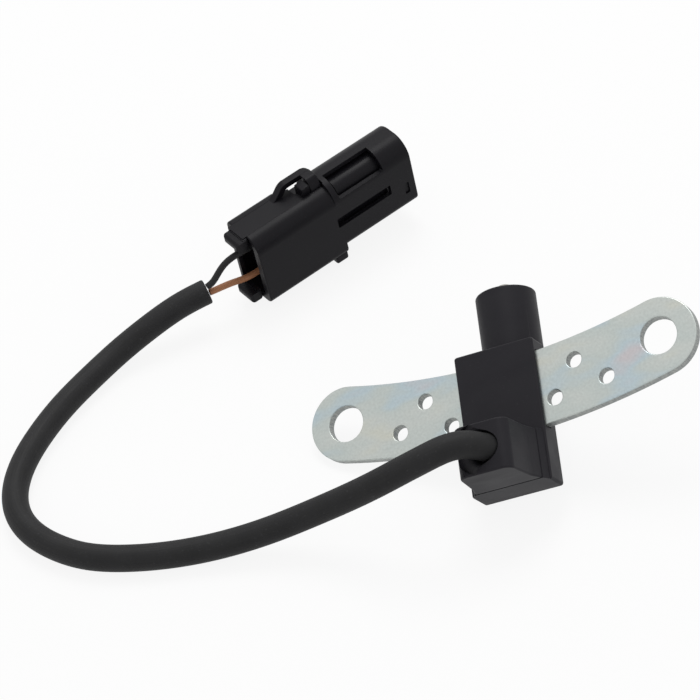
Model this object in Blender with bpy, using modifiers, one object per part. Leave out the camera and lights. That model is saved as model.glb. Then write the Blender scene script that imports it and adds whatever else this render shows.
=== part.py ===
"""Crankshaft position sensor: steel bracket, moulded sensor, cable and two-way connector.

Sizes are in metres, +Z is up, and the floor is z = 0. The sensor lies on its barrel's lower rim,
the housing's back corner and the bracket's left end, and the cable and the connector lie beside it.
"""

import math

import bmesh
import bpy
import numpy as np
from mathutils import Matrix, Vector

GAP = 0.0003

# Sensor frame: x along the bracket, y towards the nose, z out of the bracket's front face.
SENSOR_PLACE = (-0.00042, 0.00028, 0.02174)
SENSOR_TURN = (math.radians(26.386), math.radians(-17.987), 0.0)

# Bracket: a strip of sheet steel bent in its own plane, with full round ends.
BRACKET_THICKNESS = 0.003
BRACKET_WIDTH = 0.0206
BRACKET_ARC_RADIUS = 0.1935
BOLT_HOLE_PITCH = 0.090
BOLT_HOLE_DIAMETER = 0.010
TOOLING_HOLE_DIAMETER = 0.0042
TOOLING_HOLES = ((0.0148, -0.0087), (0.0214, -0.0001), (0.0296, -0.0068))
BRACKET_EDGE = 0.0003

# Housing slab, moulded round the bracket.
SLAB_WIDTH = 0.0226
SLAB_TOP = 0.0090
SLAB_BOTTOM = -0.0302
SLAB_FRONT = 0.0012
SLAB_BACK = -0.0068
SLAB_CORNER = 0.0008
SLAB_EDGE = 0.0004

# Raised base under the cable cover.
BASE_TOP = -0.0165
BASE_FRONT = 0.0032
BASE_WIDTH = 0.0194
BASE_SHOULDER_WIDTH = 0.0214
BASE_SHOULDER = 0.0013

# Barrel behind the bracket, and its bore for the coil.
BARREL_DIAMETER = 0.0163
BARREL_AXIS = -0.01315
BARREL_TIP = 0.02805
BARREL_WALL = 0.0012
BARREL_TIP_WALL = 0.0014
BARREL_REAR_WALL = 0.0019
BARREL_EDGE = 0.0006
NECK_WIDTH = 0.0140

# Pole piece, magnet, bobbin and winding.
POLE_DIAMETER = 0.0040
POLE_PROUD = 0.0027
MAGNET_DIAMETER = 0.0070
MAGNET_LENGTH = 0.0118
POLE_EDGE = 0.0002
MAGNET_EDGE = 0.0003
BOBBIN_WALL = 0.0009
BOBBIN_FLANGE = 0.0012
BOBBIN_CUP_WALL = 0.0011
WINDING_LENGTH = 0.0166
WINDING_BUILD = 0.0023

# Terminals from the coil to the pocket in the base.
TERMINAL_WIDTH = 0.0020
TERMINAL_THICKNESS = 0.0006
TERMINAL_SPACING = 0.0060
TERMINAL_BEND = -0.0005
TERMINAL_LEVEL = -0.0050
TERMINAL_TURN = -0.0230
TERMINAL_TOP = 0.0036
POCKET_WIDTH = 0.0106
POCKET_WALL = 0.0022
POCKET_FLOOR = 0.0011
POTTING_DEPTH = 0.0004

# Cable cover on the base.
COVER_FRONT = 0.01815
COVER_WIDTH_FRONT = 0.0146
COVER_WIDTH_WAIST = 0.0166
COVER_WAIST = 0.0076
COVER_WIDTH_FOOT = 0.0190
COVER_ROUND = 0.0025
COVER_EDGE = 0.0005
COVER_ROOF = 0.00475
EXIT_HEIGHT = -0.0232
EXIT_LEAN = math.radians(28.0)
EXIT_POCKET_DIAMETER = 0.0084
EXIT_POCKET_DEPTH = 0.0030
JACKET_INSERT = 0.0055
BORE_BEYOND_JACKET = 0.0010

# Cable and wires.
JACKET_DIAMETER = 0.0072
WIRE_DIAMETER = 0.0019
JACKET_ROUTE = (
    (0.0016, -0.0264, 0.0241),
    (-0.0022, -0.0285, 0.0274),
    (-0.0050, -0.0295, 0.0293),
    (-0.0103, -0.0317, 0.0306),
    (-0.0151, -0.0336, 0.0297),
    (-0.0211, -0.0349, 0.0271),
    (-0.0274, -0.0352, 0.0233),
    (-0.0376, -0.0349, 0.0170),
    (-0.0478, -0.0351, 0.0118),
    (-0.0579, -0.0363, 0.0080),
    (-0.0680, -0.0378, 0.0054),
    (-0.0782, -0.0395, 0.0041),
    (-0.0882, -0.0409, 0.0038),
    (-0.0986, -0.0414, 0.0038),
    (-0.1094, -0.0401, 0.0038),
    (-0.1170, -0.0371, 0.0038),
    (-0.1241, -0.0324, 0.0038),
    (-0.1294, -0.0262, 0.0038),
    (-0.1321, -0.0196, 0.0038),
    (-0.1329, -0.0123, 0.0038),
    (-0.1319, -0.0039, 0.0038),
    (-0.1293, 0.0049, 0.0038),
    (-0.1244, 0.0161, 0.0038),
    (-0.1183, 0.0261, 0.0040),
    (-0.1113, 0.0347, 0.0052),
    (-0.1028, 0.0411, 0.0081),
    (-0.0939, 0.0467, 0.0106),
    (-0.0873, 0.0502, 0.0116),
)
# The wires' routes are in the connector's own frame.
BLACK_ROUTE = (
    (-0.0133, 0.0026, -0.0017),
    (-0.0117, 0.0022, -0.0010),
    (-0.0092, 0.0018, 0.0012),
    (-0.0065, 0.0014, 0.0033),
    (-0.0031, 0.0006, 0.0046),
    (0.0008, 0.0, 0.0049),
    (0.0050, 0.0, 0.0049),
    (0.0120, 0.0, 0.0049),
)
BROWN_ROUTE = (
    (-0.0130, 0.0026, -0.0040),
    (-0.0110, 0.0022, -0.0041),
    (-0.0062, 0.0013, -0.0044),
    (-0.0022, 0.0004, -0.0048),
    (0.0018, 0.0, -0.0049),
    (0.0050, 0.0, -0.0049),
    (0.0120, 0.0, -0.0049),
)

# Connector frame: x towards its mouth, y across its thickness, z across its width.
CONNECTOR_PLACE = (-0.07573, 0.05738, 0.01508)
CONNECTOR_TURN = (0.0, math.radians(-1.0), math.radians(43.2))
CONNECTOR_LENGTH = 0.05395
CONNECTOR_WIDTH = 0.0233
CONNECTOR_THICKNESS = 0.01475
CONNECTOR_CORNER = 0.0020
CONNECTOR_EDGE = 0.0003
REAR_LENGTH = 0.02805
SHROUD_FLOOR = 0.0296
SHROUD_LOW = -0.0090
SHROUD_HIGH = 0.01315
SHROUD_CORNER_LOW = 0.0022
SHROUD_CORNER_HIGH = 0.0060
SHROUD_LEAST_CORNER = 0.0006
SHROUD_WALL = 0.0013
SHROUD_OVERLAP = 0.0010
CAVITY_PITCH = 0.0098
SEAL_BORE_DIAMETER = 0.0070
SEAL_BORE_DEPTH = 0.0120
CONTACT_BORE_DIAMETER = 0.0046
REAR_RECESS_DEPTH = 0.0042
REAR_RECESS_HEIGHT = 0.0176
REAR_RECESS_WIDTH = 0.0100
REAR_RECESS_CORNER = 0.0010
CORNER_WINDOW_START = 0.0304
CORNER_WINDOW_END = 0.0445
CORNER_WINDOW_SIDE = 0.0084
CORNER_WINDOW_TOP = -0.0003
SLOT_START = 0.0265
SLOT_END = 0.0455
SLOT_LOW = -0.0010
SLOT_HEIGHT = 0.0033
TOWER_LENGTH = 0.0160
TOWER_CLEARANCE = 0.0010
TOWER_EDGE = 0.0004

# Secondary lock: a rear frame with an arm and a loop on each narrow side.
LOCK_ARM_WIDTH = 0.0088
LOCK_ARM_THICKNESS = 0.0016
LOCK_FRAME = 0.0013
LOCK_EDGE = 0.0002
LOCK_CORNER = 0.0005
LOCK_BAND = 0.0010
LOCK_WINDOW_REACH = 0.0029
LOOP_START = 0.0155
LOOP_END = 0.0267
LOOP_RISE = 0.0036
LOOP_WINDOW_LENGTH = 0.0064
LOOP_WINDOW_WIDTH = 0.0052
LOOP_BAR = 0.0022
TAB_LENGTH = 0.0027
TAB_HEIGHT = 0.0031
TAB_WIDTH = 0.0072
TAB_EDGE = 0.0004
TOOTH_LENGTH = 0.0029
TOOTH_WIDTH = 0.0040
NOTCH_START = 0.0190
NOTCH_END = 0.0245
NOTCH_SIDE = 0.0030
NOTCH_LEVEL = 0.0072

# Contacts and wire seals.
SEAL_START = 0.0050
SEAL_LENGTH = 0.0066
SEAL_RIBS = 3
SEAL_GROOVE = 0.0007
CRIMP_DIAMETER = 0.0030
CONTACT_DIAMETER = 0.0040
PIN_DIAMETER = 0.0016
CRIMP_LENGTH = 0.0055
CONTACT_BODY_LENGTH = 0.0120
PIN_LENGTH = 0.0130
TOWER_PIN_BORE = 0.0026

ROUND_STEPS = 40
SMALL_STEPS = 24


def clear_scene():
    for obj in list(bpy.data.objects):
        bpy.data.objects.remove(obj, do_unlink=True)


def add_collection(name, hidden=False):
    made = bpy.data.collections.new(name)
    bpy.context.scene.collection.children.link(made)
    made.hide_render = hidden
    return made


def add_frame(name, place, turn):
    frame = bpy.data.objects.new(name, None)
    frame.empty_display_size = 0.01
    frame.location = place
    frame.rotation_euler = turn
    PIECES.objects.link(frame)
    return frame


def plastic(name, colour, roughness, metallic=0.0):
    made = bpy.data.materials.new(name)
    made.use_nodes = True
    shader = made.node_tree.nodes["Principled BSDF"]
    shader.inputs["Base Color"].default_value = (*colour, 1.0)
    shader.inputs["Roughness"].default_value = roughness
    shader.inputs["Metallic"].default_value = metallic
    return made


def add_piece(name, mesh, frame, finish):
    """A piece of the product, placed by its frame."""
    obj = bpy.data.objects.new(name, mesh)
    obj.parent = frame
    mesh.materials.clear()
    mesh.materials.append(finish)
    PIECES.objects.link(obj)
    return obj


def add_cutter(name, mesh, frame):
    obj = bpy.data.objects.new(name, mesh)
    obj.parent = frame
    obj.hide_render = True
    obj.display_type = "WIRE"
    CUTTERS.objects.link(obj)
    return obj


def boolean(obj, other, operation):
    modifier = obj.modifiers.new(other.name, "BOOLEAN")
    modifier.operation = operation
    modifier.solver = "EXACT"
    modifier.object = other


def cut(obj, name, mesh):
    boolean(obj, add_cutter(name, mesh, obj.parent), "DIFFERENCE")


def join(obj, name, mesh):
    boolean(obj, add_cutter(name, mesh, obj.parent), "UNION")


def shade(mesh, angle=40.0):
    mesh.shade_smooth()
    mesh.set_sharp_from_angle(angle=math.radians(angle))


def mesh_from(form, name):
    bmesh.ops.recalc_face_normals(form, faces=form.faces)
    mesh = bpy.data.meshes.new(name)
    form.to_mesh(mesh)
    form.free()
    shade(mesh)
    return mesh


def box(low, high, edge=0.0, along=None, segments=2):
    """A box between two corners. Its edges along one axis, or all of them, are rounded by edge."""
    form = bmesh.new()
    bmesh.ops.create_cube(form, size=1.0)
    size = Vector(high) - Vector(low)
    centre = (Vector(high) + Vector(low)) / 2
    bmesh.ops.scale(form, vec=size, verts=form.verts)
    bmesh.ops.translate(form, vec=centre, verts=form.verts)
    if edge > 0.0:
        chosen = [e for e in form.edges if along is None or runs_along(e, along)]
        round_edges(form, chosen, edge, segments)
    return mesh_from(form, "box")


def runs_along(edge, axis):
    run = edge.verts[1].co - edge.verts[0].co
    return abs(run[axis]) > 0.99 * run.length


def round_edges(form, edges, radius, segments):
    bmesh.ops.bevel(
        form,
        geom=edges,
        offset=radius,
        offset_type="OFFSET",
        segments=segments,
        profile=0.5,
        affect="EDGES",
        clamp_overlap=True,
        material=-1,
    )


def turned(profile, steps=ROUND_STEPS, closed=False):
    """A profile of (radius, height), outer side top to bottom, spun round +Z by a Screw modifier."""
    form = bmesh.new()
    points = [form.verts.new((radius, 0.0, height)) for radius, height in profile]
    for start, end in zip(points, points[1:]):
        form.edges.new((start, end))
    if closed:
        form.edges.new((points[-1], points[0]))
    mesh = bpy.data.meshes.new("profile")
    form.to_mesh(mesh)
    form.free()
    obj = bpy.data.objects.new("profile", mesh)
    bpy.context.scene.collection.objects.link(obj)
    screw = obj.modifiers.new("turn", "SCREW")
    screw.steps = steps
    screw.render_steps = steps
    screw.use_merge_vertices = True
    screw.merge_threshold = 0.00001
    return realised(obj)


def realised(obj):
    """The evaluated mesh of an object, welded, with the object itself removed."""
    bpy.context.view_layer.update()
    graph = bpy.context.evaluated_depsgraph_get()
    mesh = bpy.data.meshes.new_from_object(obj.evaluated_get(graph))
    form = bmesh.new()
    form.from_mesh(mesh)
    bmesh.ops.remove_doubles(form, verts=form.verts, dist=0.000001)
    bmesh.ops.transform(form, matrix=obj.matrix_world, verts=form.verts)
    bpy.data.objects.remove(obj, do_unlink=True)
    bpy.data.meshes.remove(mesh)
    return mesh_from(form, "realised")


def moved(mesh, matrix):
    mesh.transform(matrix)
    return mesh


def along_y(mesh, x=0.0, z=0.0):
    """A turned shape with its axis laid along +Y."""
    return moved(mesh, Matrix.Translation((x, 0.0, z)) @ Matrix.Rotation(-math.pi / 2, 4, "X"))


def along_x(mesh, y=0.0, z=0.0):
    return moved(mesh, Matrix.Translation((0.0, y, z)) @ Matrix.Rotation(math.pi / 2, 4, "Y"))


def rod(radius, low, high, steps=SMALL_STEPS, edge=0.0):
    """A cylinder along +Z between two heights, with its rims rounded by edge."""
    if edge == 0.0:
        return turned([(0.0, high), (radius, high), (radius, low), (0.0, low)], steps)
    bite = edge * (1.0 - math.sqrt(0.5))
    top = [(0.0, high), (radius - edge, high), (radius - bite, high - bite), (radius, high - edge)]
    foot = [(radius, low + edge), (radius - bite, low + bite), (radius - edge, low), (0.0, low)]
    return turned(top + foot, steps)


def sleeve(outer, inner, low, high, steps=SMALL_STEPS):
    return turned([(outer, high), (outer, low), (inner, low), (inner, high)], steps, closed=True)


def arc(centre, radius, start, end, count):
    """Points on an arc in a plane, from one angle to another."""
    angles = np.linspace(start, end, count)
    return [(centre[0] + radius * math.cos(a), centre[1] + radius * math.sin(a)) for a in angles]


def circle(centre, radius, count):
    return arc(centre, radius, 0.0, 2.0 * math.pi, count + 1)[:-1]


def rounded(corners, count=5):
    """An outline from corners of (x, y, radius), anticlockwise, each rounded by its own radius."""
    outline = []
    for i, (x, y, radius) in enumerate(corners):
        corner = Vector((x, y))
        if radius == 0.0:
            outline.append((x, y))
            continue
        before = (Vector(corners[i - 1][:2]) - corner).normalized()
        after = (Vector(corners[(i + 1) % len(corners)][:2]) - corner).normalized()
        opening = before.angle(after)
        centre = corner + (before + after).normalized() * radius / math.sin(opening / 2)
        start = corner + before * radius / math.tan(opening / 2) - centre
        turn = math.pi - opening
        first = math.atan2(start.y, start.x)
        outline += arc(centre, radius, first, first + turn, count)
    return outline


def rectangle(low, high, radius=0.0):
    (x0, y0), (x1, y1) = low, high
    return rounded([(x0, y0, radius), (x1, y0, radius), (x1, y1, radius), (x0, y1, radius)])


def flat(loops, thickness, edge=0.0):
    """A flat shape from its outline and its holes, centred on z = 0, with its edges rounded."""
    curve = bpy.data.curves.new("outline", "CURVE")
    curve.dimensions = "2D"
    curve.fill_mode = "BOTH"
    curve.extrude = thickness / 2 - edge
    curve.bevel_depth = edge
    curve.bevel_resolution = 1
    curve.offset = -edge
    for loop in [loops[0]] + [hole[::-1] for hole in loops[1:]]:
        spline = curve.splines.new("POLY")
        spline.points.add(len(loop) - 1)
        spline.use_cyclic_u = True
        for point, (x, y) in zip(spline.points, loop):
            point.co = (x, y, 0.0, 1.0)
    obj = bpy.data.objects.new("outline", curve)
    bpy.context.scene.collection.objects.link(obj)
    return realised(obj)


def prism_y(loops, low, high, edge=0.0):
    """An outline of (x, z), extruded along y."""
    stand = Matrix.Translation((0.0, (low + high) / 2, 0.0)) @ Matrix.Rotation(math.pi / 2, 4, "X")
    return moved(flat(loops, high - low, edge), stand)


def prism_x(loops, low, high, edge=0.0):
    """An outline of (y, z), extruded along x."""
    swap = Matrix(((0, 0, 1, 0), (1, 0, 0, 0), (0, 1, 0, 0), (0, 0, 0, 1)))
    stand = Matrix.Translation(((low + high) / 2, 0.0, 0.0)) @ swap
    return moved(flat(loops, high - low, edge), stand)


def strip(path, width, thickness):
    """A flat bar bent along a path in the y-z plane, from an open sheet and Solidify."""
    form = bmesh.new()
    points = [form.verts.new((-width / 2, y, z)) for y, z in path]
    edges = [form.edges.new(pair) for pair in zip(points, points[1:])]
    sheet = bmesh.ops.extrude_edge_only(form, edges=edges)
    swept = [v for v in sheet["geom"] if isinstance(v, bmesh.types.BMVert)]
    bmesh.ops.translate(form, vec=(width, 0.0, 0.0), verts=swept)
    mesh = bpy.data.meshes.new("strip")
    form.to_mesh(mesh)
    form.free()
    obj = bpy.data.objects.new("strip", mesh)
    bpy.context.scene.collection.objects.link(obj)
    thicken = obj.modifiers.new("thickness", "SOLIDIFY")
    thicken.thickness = thickness
    thicken.offset = 0.0
    thicken.use_even_offset = True
    return realised(obj)


def smooth_route(points, spacing):
    """Points at an even spacing on a natural cubic spline through the given ones."""
    knots = np.array(points)
    steps = np.linalg.norm(np.diff(knots, axis=0), axis=1)
    at = np.concatenate([[0.0], np.cumsum(steps)])
    count = len(knots)
    system = np.eye(count)
    right = np.zeros((count, 3))
    for i in range(1, count - 1):
        before, after = steps[i - 1], steps[i]
        system[i, i - 1:i + 2] = before, 2.0 * (before + after), after
        slopes = (knots[i + 1] - knots[i]) / after - (knots[i] - knots[i - 1]) / before
        right[i] = 6.0 * slopes
    bends = np.linalg.solve(system, right)
    samples = np.linspace(0.0, at[-1], max(3, int(round(at[-1] / spacing)) + 1))
    route = []
    for s in samples:
        i = min(np.searchsorted(at, s, side="right") - 1, count - 2)
        span = steps[i]
        a, b = (at[i + 1] - s) / span, (s - at[i]) / span
        curve = (a**3 - a) * bends[i] + (b**3 - b) * bends[i + 1]
        route.append(a * knots[i] + b * knots[i + 1] + curve * span**2 / 6.0)
    return route


def tube(name, points, diameter, frame, finish, resolution=2):
    """A round cord along a list of points, as a curve with a bevel and filled caps."""
    curve = bpy.data.curves.new(name, "CURVE")
    curve.dimensions = "3D"
    curve.bevel_depth = diameter / 2
    curve.bevel_resolution = resolution
    curve.use_fill_caps = True
    spline = curve.splines.new("POLY")
    spline.points.add(len(points) - 1)
    for point, place in zip(spline.points, points):
        point.co = (*place, 1.0)
    curve.materials.append(finish)
    obj = bpy.data.objects.new(name, curve)
    obj.parent = frame
    PIECES.objects.link(obj)
    return obj


def make_bracket():
    centre = (0.0, math.sqrt(BRACKET_ARC_RADIUS**2 - (BOLT_HOLE_PITCH / 2) ** 2))
    reach = math.asin(BOLT_HOLE_PITCH / 2 / BRACKET_ARC_RADIUS)
    down = -math.pi / 2
    half = BRACKET_WIDTH / 2
    hole = BOLT_HOLE_PITCH / 2
    outline = arc(centre, BRACKET_ARC_RADIUS + half, down - reach, down + reach, 24)
    outline += arc((hole, 0.0), half, down + reach, down + reach + math.pi, 15)[1:-1]
    outline += arc(centre, BRACKET_ARC_RADIUS - half, down + reach, down - reach, 24)
    outline += arc((-hole, 0.0), half, math.pi / 2 - reach, math.pi * 1.5 - reach, 15)[1:-1]
    loops = [outline]
    for side in (-1, 1):
        loops.append(circle((side * hole, 0.0), BOLT_HOLE_DIAMETER / 2, 32))
        for x, y in TOOLING_HOLES:
            loops.append(circle((side * x, y), TOOLING_HOLE_DIAMETER / 2, 20))
    mesh = flat(loops, BRACKET_THICKNESS, BRACKET_EDGE)
    moved(mesh, Matrix.Translation((0.0, 0.0, -BRACKET_THICKNESS / 2)))
    return add_piece("bracket", mesh, SENSOR, ZINC)


def coil_stack():
    """Heights along the barrel's axis, from its tip down: bobbin, winding, magnet and bore end."""
    front = BARREL_TIP - BARREL_TIP_WALL - GAP
    winding_front = front - BOBBIN_FLANGE - GAP
    winding_rear = winding_front - WINDING_LENGTH
    flange_rear = winding_rear - GAP - BOBBIN_FLANGE
    magnet_rear = flange_rear - GAP - MAGNET_LENGTH
    return front, winding_front, winding_rear, flange_rear, magnet_rear


FRONT, WINDING_FRONT, WINDING_REAR, FLANGE_REAR, MAGNET_REAR = coil_stack()
BORE_RADIUS = BARREL_DIAMETER / 2 - BARREL_WALL
BORE_END = MAGNET_REAR - GAP
BARREL_END = BORE_END - BARREL_REAR_WALL
TUBE_RADIUS = POLE_DIAMETER / 2 + GAP
CUP_RADIUS = MAGNET_DIAMETER / 2 + GAP + BOBBIN_CUP_WALL
TERMINAL_COIL_LEVEL = BARREL_AXIS + CUP_RADIUS + GAP + TERMINAL_THICKNESS / 2
POCKET_LOW = SLAB_BOTTOM + POCKET_WALL
POCKET_HIGH = BASE_TOP - POCKET_WALL
COVER_BACK = BASE_FRONT + GAP


def terminal_bar(side, grow=0.0):
    """A terminal's bar, or the channel round it, from the coil's flange to the pocket."""
    climb = TERMINAL_LEVEL - TERMINAL_COIL_LEVEL
    path = [
        (FLANGE_REAR - GAP + grow, TERMINAL_COIL_LEVEL),
        (TERMINAL_BEND, TERMINAL_COIL_LEVEL),
        (TERMINAL_BEND - climb, TERMINAL_LEVEL),
        (TERMINAL_TURN, TERMINAL_LEVEL),
        (TERMINAL_TURN, TERMINAL_TOP + grow),
    ]
    bar = strip(path, TERMINAL_WIDTH + 2 * grow, TERMINAL_THICKNESS + 2 * grow)
    return moved(bar, Matrix.Translation((side * TERMINAL_SPACING / 2, 0.0, 0.0)))


def make_housing():
    half = SLAB_WIDTH / 2
    outline = rectangle((-half, SLAB_BOTTOM), (half, SLAB_TOP), SLAB_CORNER)
    slab = flat([outline], SLAB_FRONT - SLAB_BACK, SLAB_EDGE)
    moved(slab, Matrix.Translation((0.0, 0.0, (SLAB_FRONT + SLAB_BACK) / 2)))
    housing = add_piece("sensor_housing", slab, SENSOR, BODY_PLASTIC)
    join(housing, "base_form", base_form())
    join(housing, "neck_form", box((-NECK_WIDTH / 2, BARREL_END + BARREL_EDGE, BARREL_AXIS),
                                   (NECK_WIDTH / 2, SLAB_TOP - SLAB_CORNER, SLAB_BACK + POCKET_FLOOR)))
    barrel = rod(BARREL_DIAMETER / 2, BARREL_END, BARREL_TIP, ROUND_STEPS, BARREL_EDGE)
    join(housing, "barrel_form", along_y(barrel, z=BARREL_AXIS))
    bore = [(0.0, BARREL_TIP + POLE_PROUD), (TUBE_RADIUS, BARREL_TIP + POLE_PROUD),
            (TUBE_RADIUS, FRONT + GAP), (BORE_RADIUS, FRONT + GAP), (BORE_RADIUS, BORE_END), (0.0, BORE_END)]
    cut(housing, "coil_bore", along_y(turned(bore), z=BARREL_AXIS))
    cut(housing, "bracket_slot", bracket_slot())
    cut(housing, "terminal_pocket", pocket_form(SLAB_BACK + POCKET_FLOOR, BASE_FRONT + POCKET_WALL))
    for side in (-1, 1):
        cut(housing, "terminal_channel", terminal_bar(side, GAP))
    return housing


def base_form():
    side, shoulder = BASE_WIDTH / 2, BASE_SHOULDER_WIDTH / 2
    foot = SLAB_BACK + POCKET_FLOOR
    outline = [(-shoulder, foot), (shoulder, foot), (shoulder, BASE_SHOULDER), (side, BASE_FRONT),
               (-side, BASE_FRONT), (-shoulder, BASE_SHOULDER)]
    return prism_y([outline], SLAB_BOTTOM, BASE_TOP)


def bracket_slot():
    """The bracket's own section through the slab, with clearance all round."""
    middle = SLAB_WIDTH
    centre = (0.0, math.sqrt(BRACKET_ARC_RADIUS**2 - (BOLT_HOLE_PITCH / 2) ** 2))
    reach = math.asin(middle / BRACKET_ARC_RADIUS)
    half = BRACKET_WIDTH / 2 + GAP
    down = -math.pi / 2
    outline = arc(centre, BRACKET_ARC_RADIUS + half, down - reach, down + reach, 13)
    outline += arc(centre, BRACKET_ARC_RADIUS - half, down + reach, down - reach, 13)
    slot = flat([outline], BRACKET_THICKNESS + 2 * GAP)
    return moved(slot, Matrix.Translation((0.0, 0.0, -BRACKET_THICKNESS / 2)))


def pocket_form(low, high, shrink=0.0):
    half = POCKET_WIDTH / 2 - shrink
    return box((-half, POCKET_LOW + shrink, low), (half, POCKET_HIGH - shrink, high))


def make_cable_housing():
    front, waist, foot = COVER_WIDTH_FRONT / 2, COVER_WIDTH_WAIST / 2, COVER_WIDTH_FOOT / 2
    outline = rounded([(-foot, COVER_BACK, 0.0), (foot, COVER_BACK, 0.0), (waist, COVER_WAIST, 0.0),
                       (front, COVER_FRONT, COVER_ROUND), (-front, COVER_FRONT, COVER_ROUND),
                       (-waist, COVER_WAIST, 0.0)], 7)
    cover = add_piece("cable_housing", prism_y([outline], SLAB_BOTTOM, BASE_TOP, COVER_EDGE), SENSOR,
                      BODY_PLASTIC)
    cut(cover, "cover_hollow", pocket_form(BASE_FRONT - POCKET_WALL, COVER_FRONT - COVER_ROOF))
    bore_radius, bore_end = JACKET_DIAMETER / 2 + GAP, -JACKET_INSERT - BORE_BEYOND_JACKET
    bore = rod(bore_radius, bore_end, EXIT_POCKET_DIAMETER, ROUND_STEPS)
    cut(cover, "cable_bore", moved(bore, exit_frame()))
    pocket = rod(EXIT_POCKET_DIAMETER / 2, -EXIT_POCKET_DEPTH, EXIT_POCKET_DIAMETER, ROUND_STEPS)
    cut(cover, "exit_pocket", moved(pocket, exit_frame()))
    return cover


def exit_frame():
    """Where the cable leaves the cover: +Z runs out along it."""
    return Matrix.Translation((0.0, EXIT_HEIGHT, COVER_FRONT)) @ Matrix.Rotation(-EXIT_LEAN, 4, "Y")


def make_coil():
    pole = rod(POLE_DIAMETER / 2, FLANGE_REAR, BARREL_TIP + POLE_PROUD, SMALL_STEPS, POLE_EDGE)
    add_piece("pole_piece", along_y(pole, z=BARREL_AXIS), SENSOR, IRON)
    magnet = rod(MAGNET_DIAMETER / 2, MAGNET_REAR, FLANGE_REAR - GAP, SMALL_STEPS, MAGNET_EDGE)
    add_piece("magnet", along_y(magnet, z=BARREL_AXIS), SENSOR, MAGNET)
    flange = BORE_RADIUS - GAP
    core = TUBE_RADIUS + BOBBIN_WALL
    cup = CUP_RADIUS - BOBBIN_CUP_WALL
    bobbin = turned([(flange, FRONT), (flange, FRONT - BOBBIN_FLANGE), (core, FRONT - BOBBIN_FLANGE),
                     (core, FLANGE_REAR + BOBBIN_FLANGE), (flange, FLANGE_REAR + BOBBIN_FLANGE),
                     (flange, FLANGE_REAR), (CUP_RADIUS, FLANGE_REAR), (CUP_RADIUS, MAGNET_REAR),
                     (cup, MAGNET_REAR), (cup, FLANGE_REAR), (TUBE_RADIUS, FLANGE_REAR),
                     (TUBE_RADIUS, FRONT)], closed=True)
    add_piece("coil_bobbin", along_y(bobbin, z=BARREL_AXIS), SENSOR, BOBBIN_PLASTIC)
    inner = core + GAP
    winding = sleeve(inner + WINDING_BUILD, inner, WINDING_REAR, WINDING_FRONT, ROUND_STEPS)
    add_piece("coil_winding", along_y(winding, z=BARREL_AXIS), SENSOR, COPPER)


def make_terminals():
    for name, side in (("terminal_left", -1), ("terminal_right", 1)):
        add_piece(name, terminal_bar(side), SENSOR, BRASS)
    floor = TERMINAL_LEVEL + TERMINAL_THICKNESS / 2 + GAP
    fill = pocket_form(floor, BASE_FRONT - POTTING_DEPTH, GAP)
    potting = add_piece("potting", fill, SENSOR, RESIN)
    for side in (-1, 1):
        cut(potting, "terminal_passage", terminal_bar(side, GAP))


def make_leads():
    """Short conductors inside the cover, from the terminals to the jacket's inner end."""
    for name, side, finish in (("lead_black", -1, BLACK_WIRE), ("lead_brown", 1, BROWN_WIRE)):
        foot = Vector((side * TERMINAL_SPACING / 2, TERMINAL_TURN, TERMINAL_TOP + GAP))
        offset = -side * (WIRE_DIAMETER + GAP) / 2
        top = exit_frame() @ Vector((0.0, offset, -JACKET_INSERT - 2 * GAP))
        below = exit_frame() @ Vector((0.0, offset, -JACKET_INSERT - WIRE_DIAMETER))
        above = foot + Vector((0.0, 0.0, WIRE_DIAMETER))
        route = smooth_route([foot, above, below, top], WIRE_DIAMETER / 2)
        tube(name, route, WIRE_DIAMETER, SENSOR, finish)


def make_cable():
    route = smooth_route(JACKET_ROUTE, JACKET_DIAMETER)
    tube("cable_jacket", route, JACKET_DIAMETER, None, JACKET_RUBBER, 4)
    wires = (("wire_black", BLACK_ROUTE, BLACK_WIRE), ("wire_brown", BROWN_ROUTE, BROWN_WIRE))
    for name, route, finish in wires:
        points = smooth_route(route, 2.0 * WIRE_DIAMETER)
        tube(name, points, WIRE_DIAMETER, CONNECTOR, finish)


def shroud_outline(inset):
    side, low, high = CONNECTOR_THICKNESS / 2 - inset, SHROUD_LOW + inset, SHROUD_HIGH - inset
    under = max(SHROUD_CORNER_LOW - inset, SHROUD_LEAST_CORNER)
    over = max(SHROUD_CORNER_HIGH - inset, SHROUD_LEAST_CORNER)
    return rounded([(-side, low, under), (side, low, under), (side, high, over), (-side, high, over)], 7)


def arm_floor():
    return CONNECTOR_WIDTH / 2 - LOCK_ARM_THICKNESS - GAP


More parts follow.
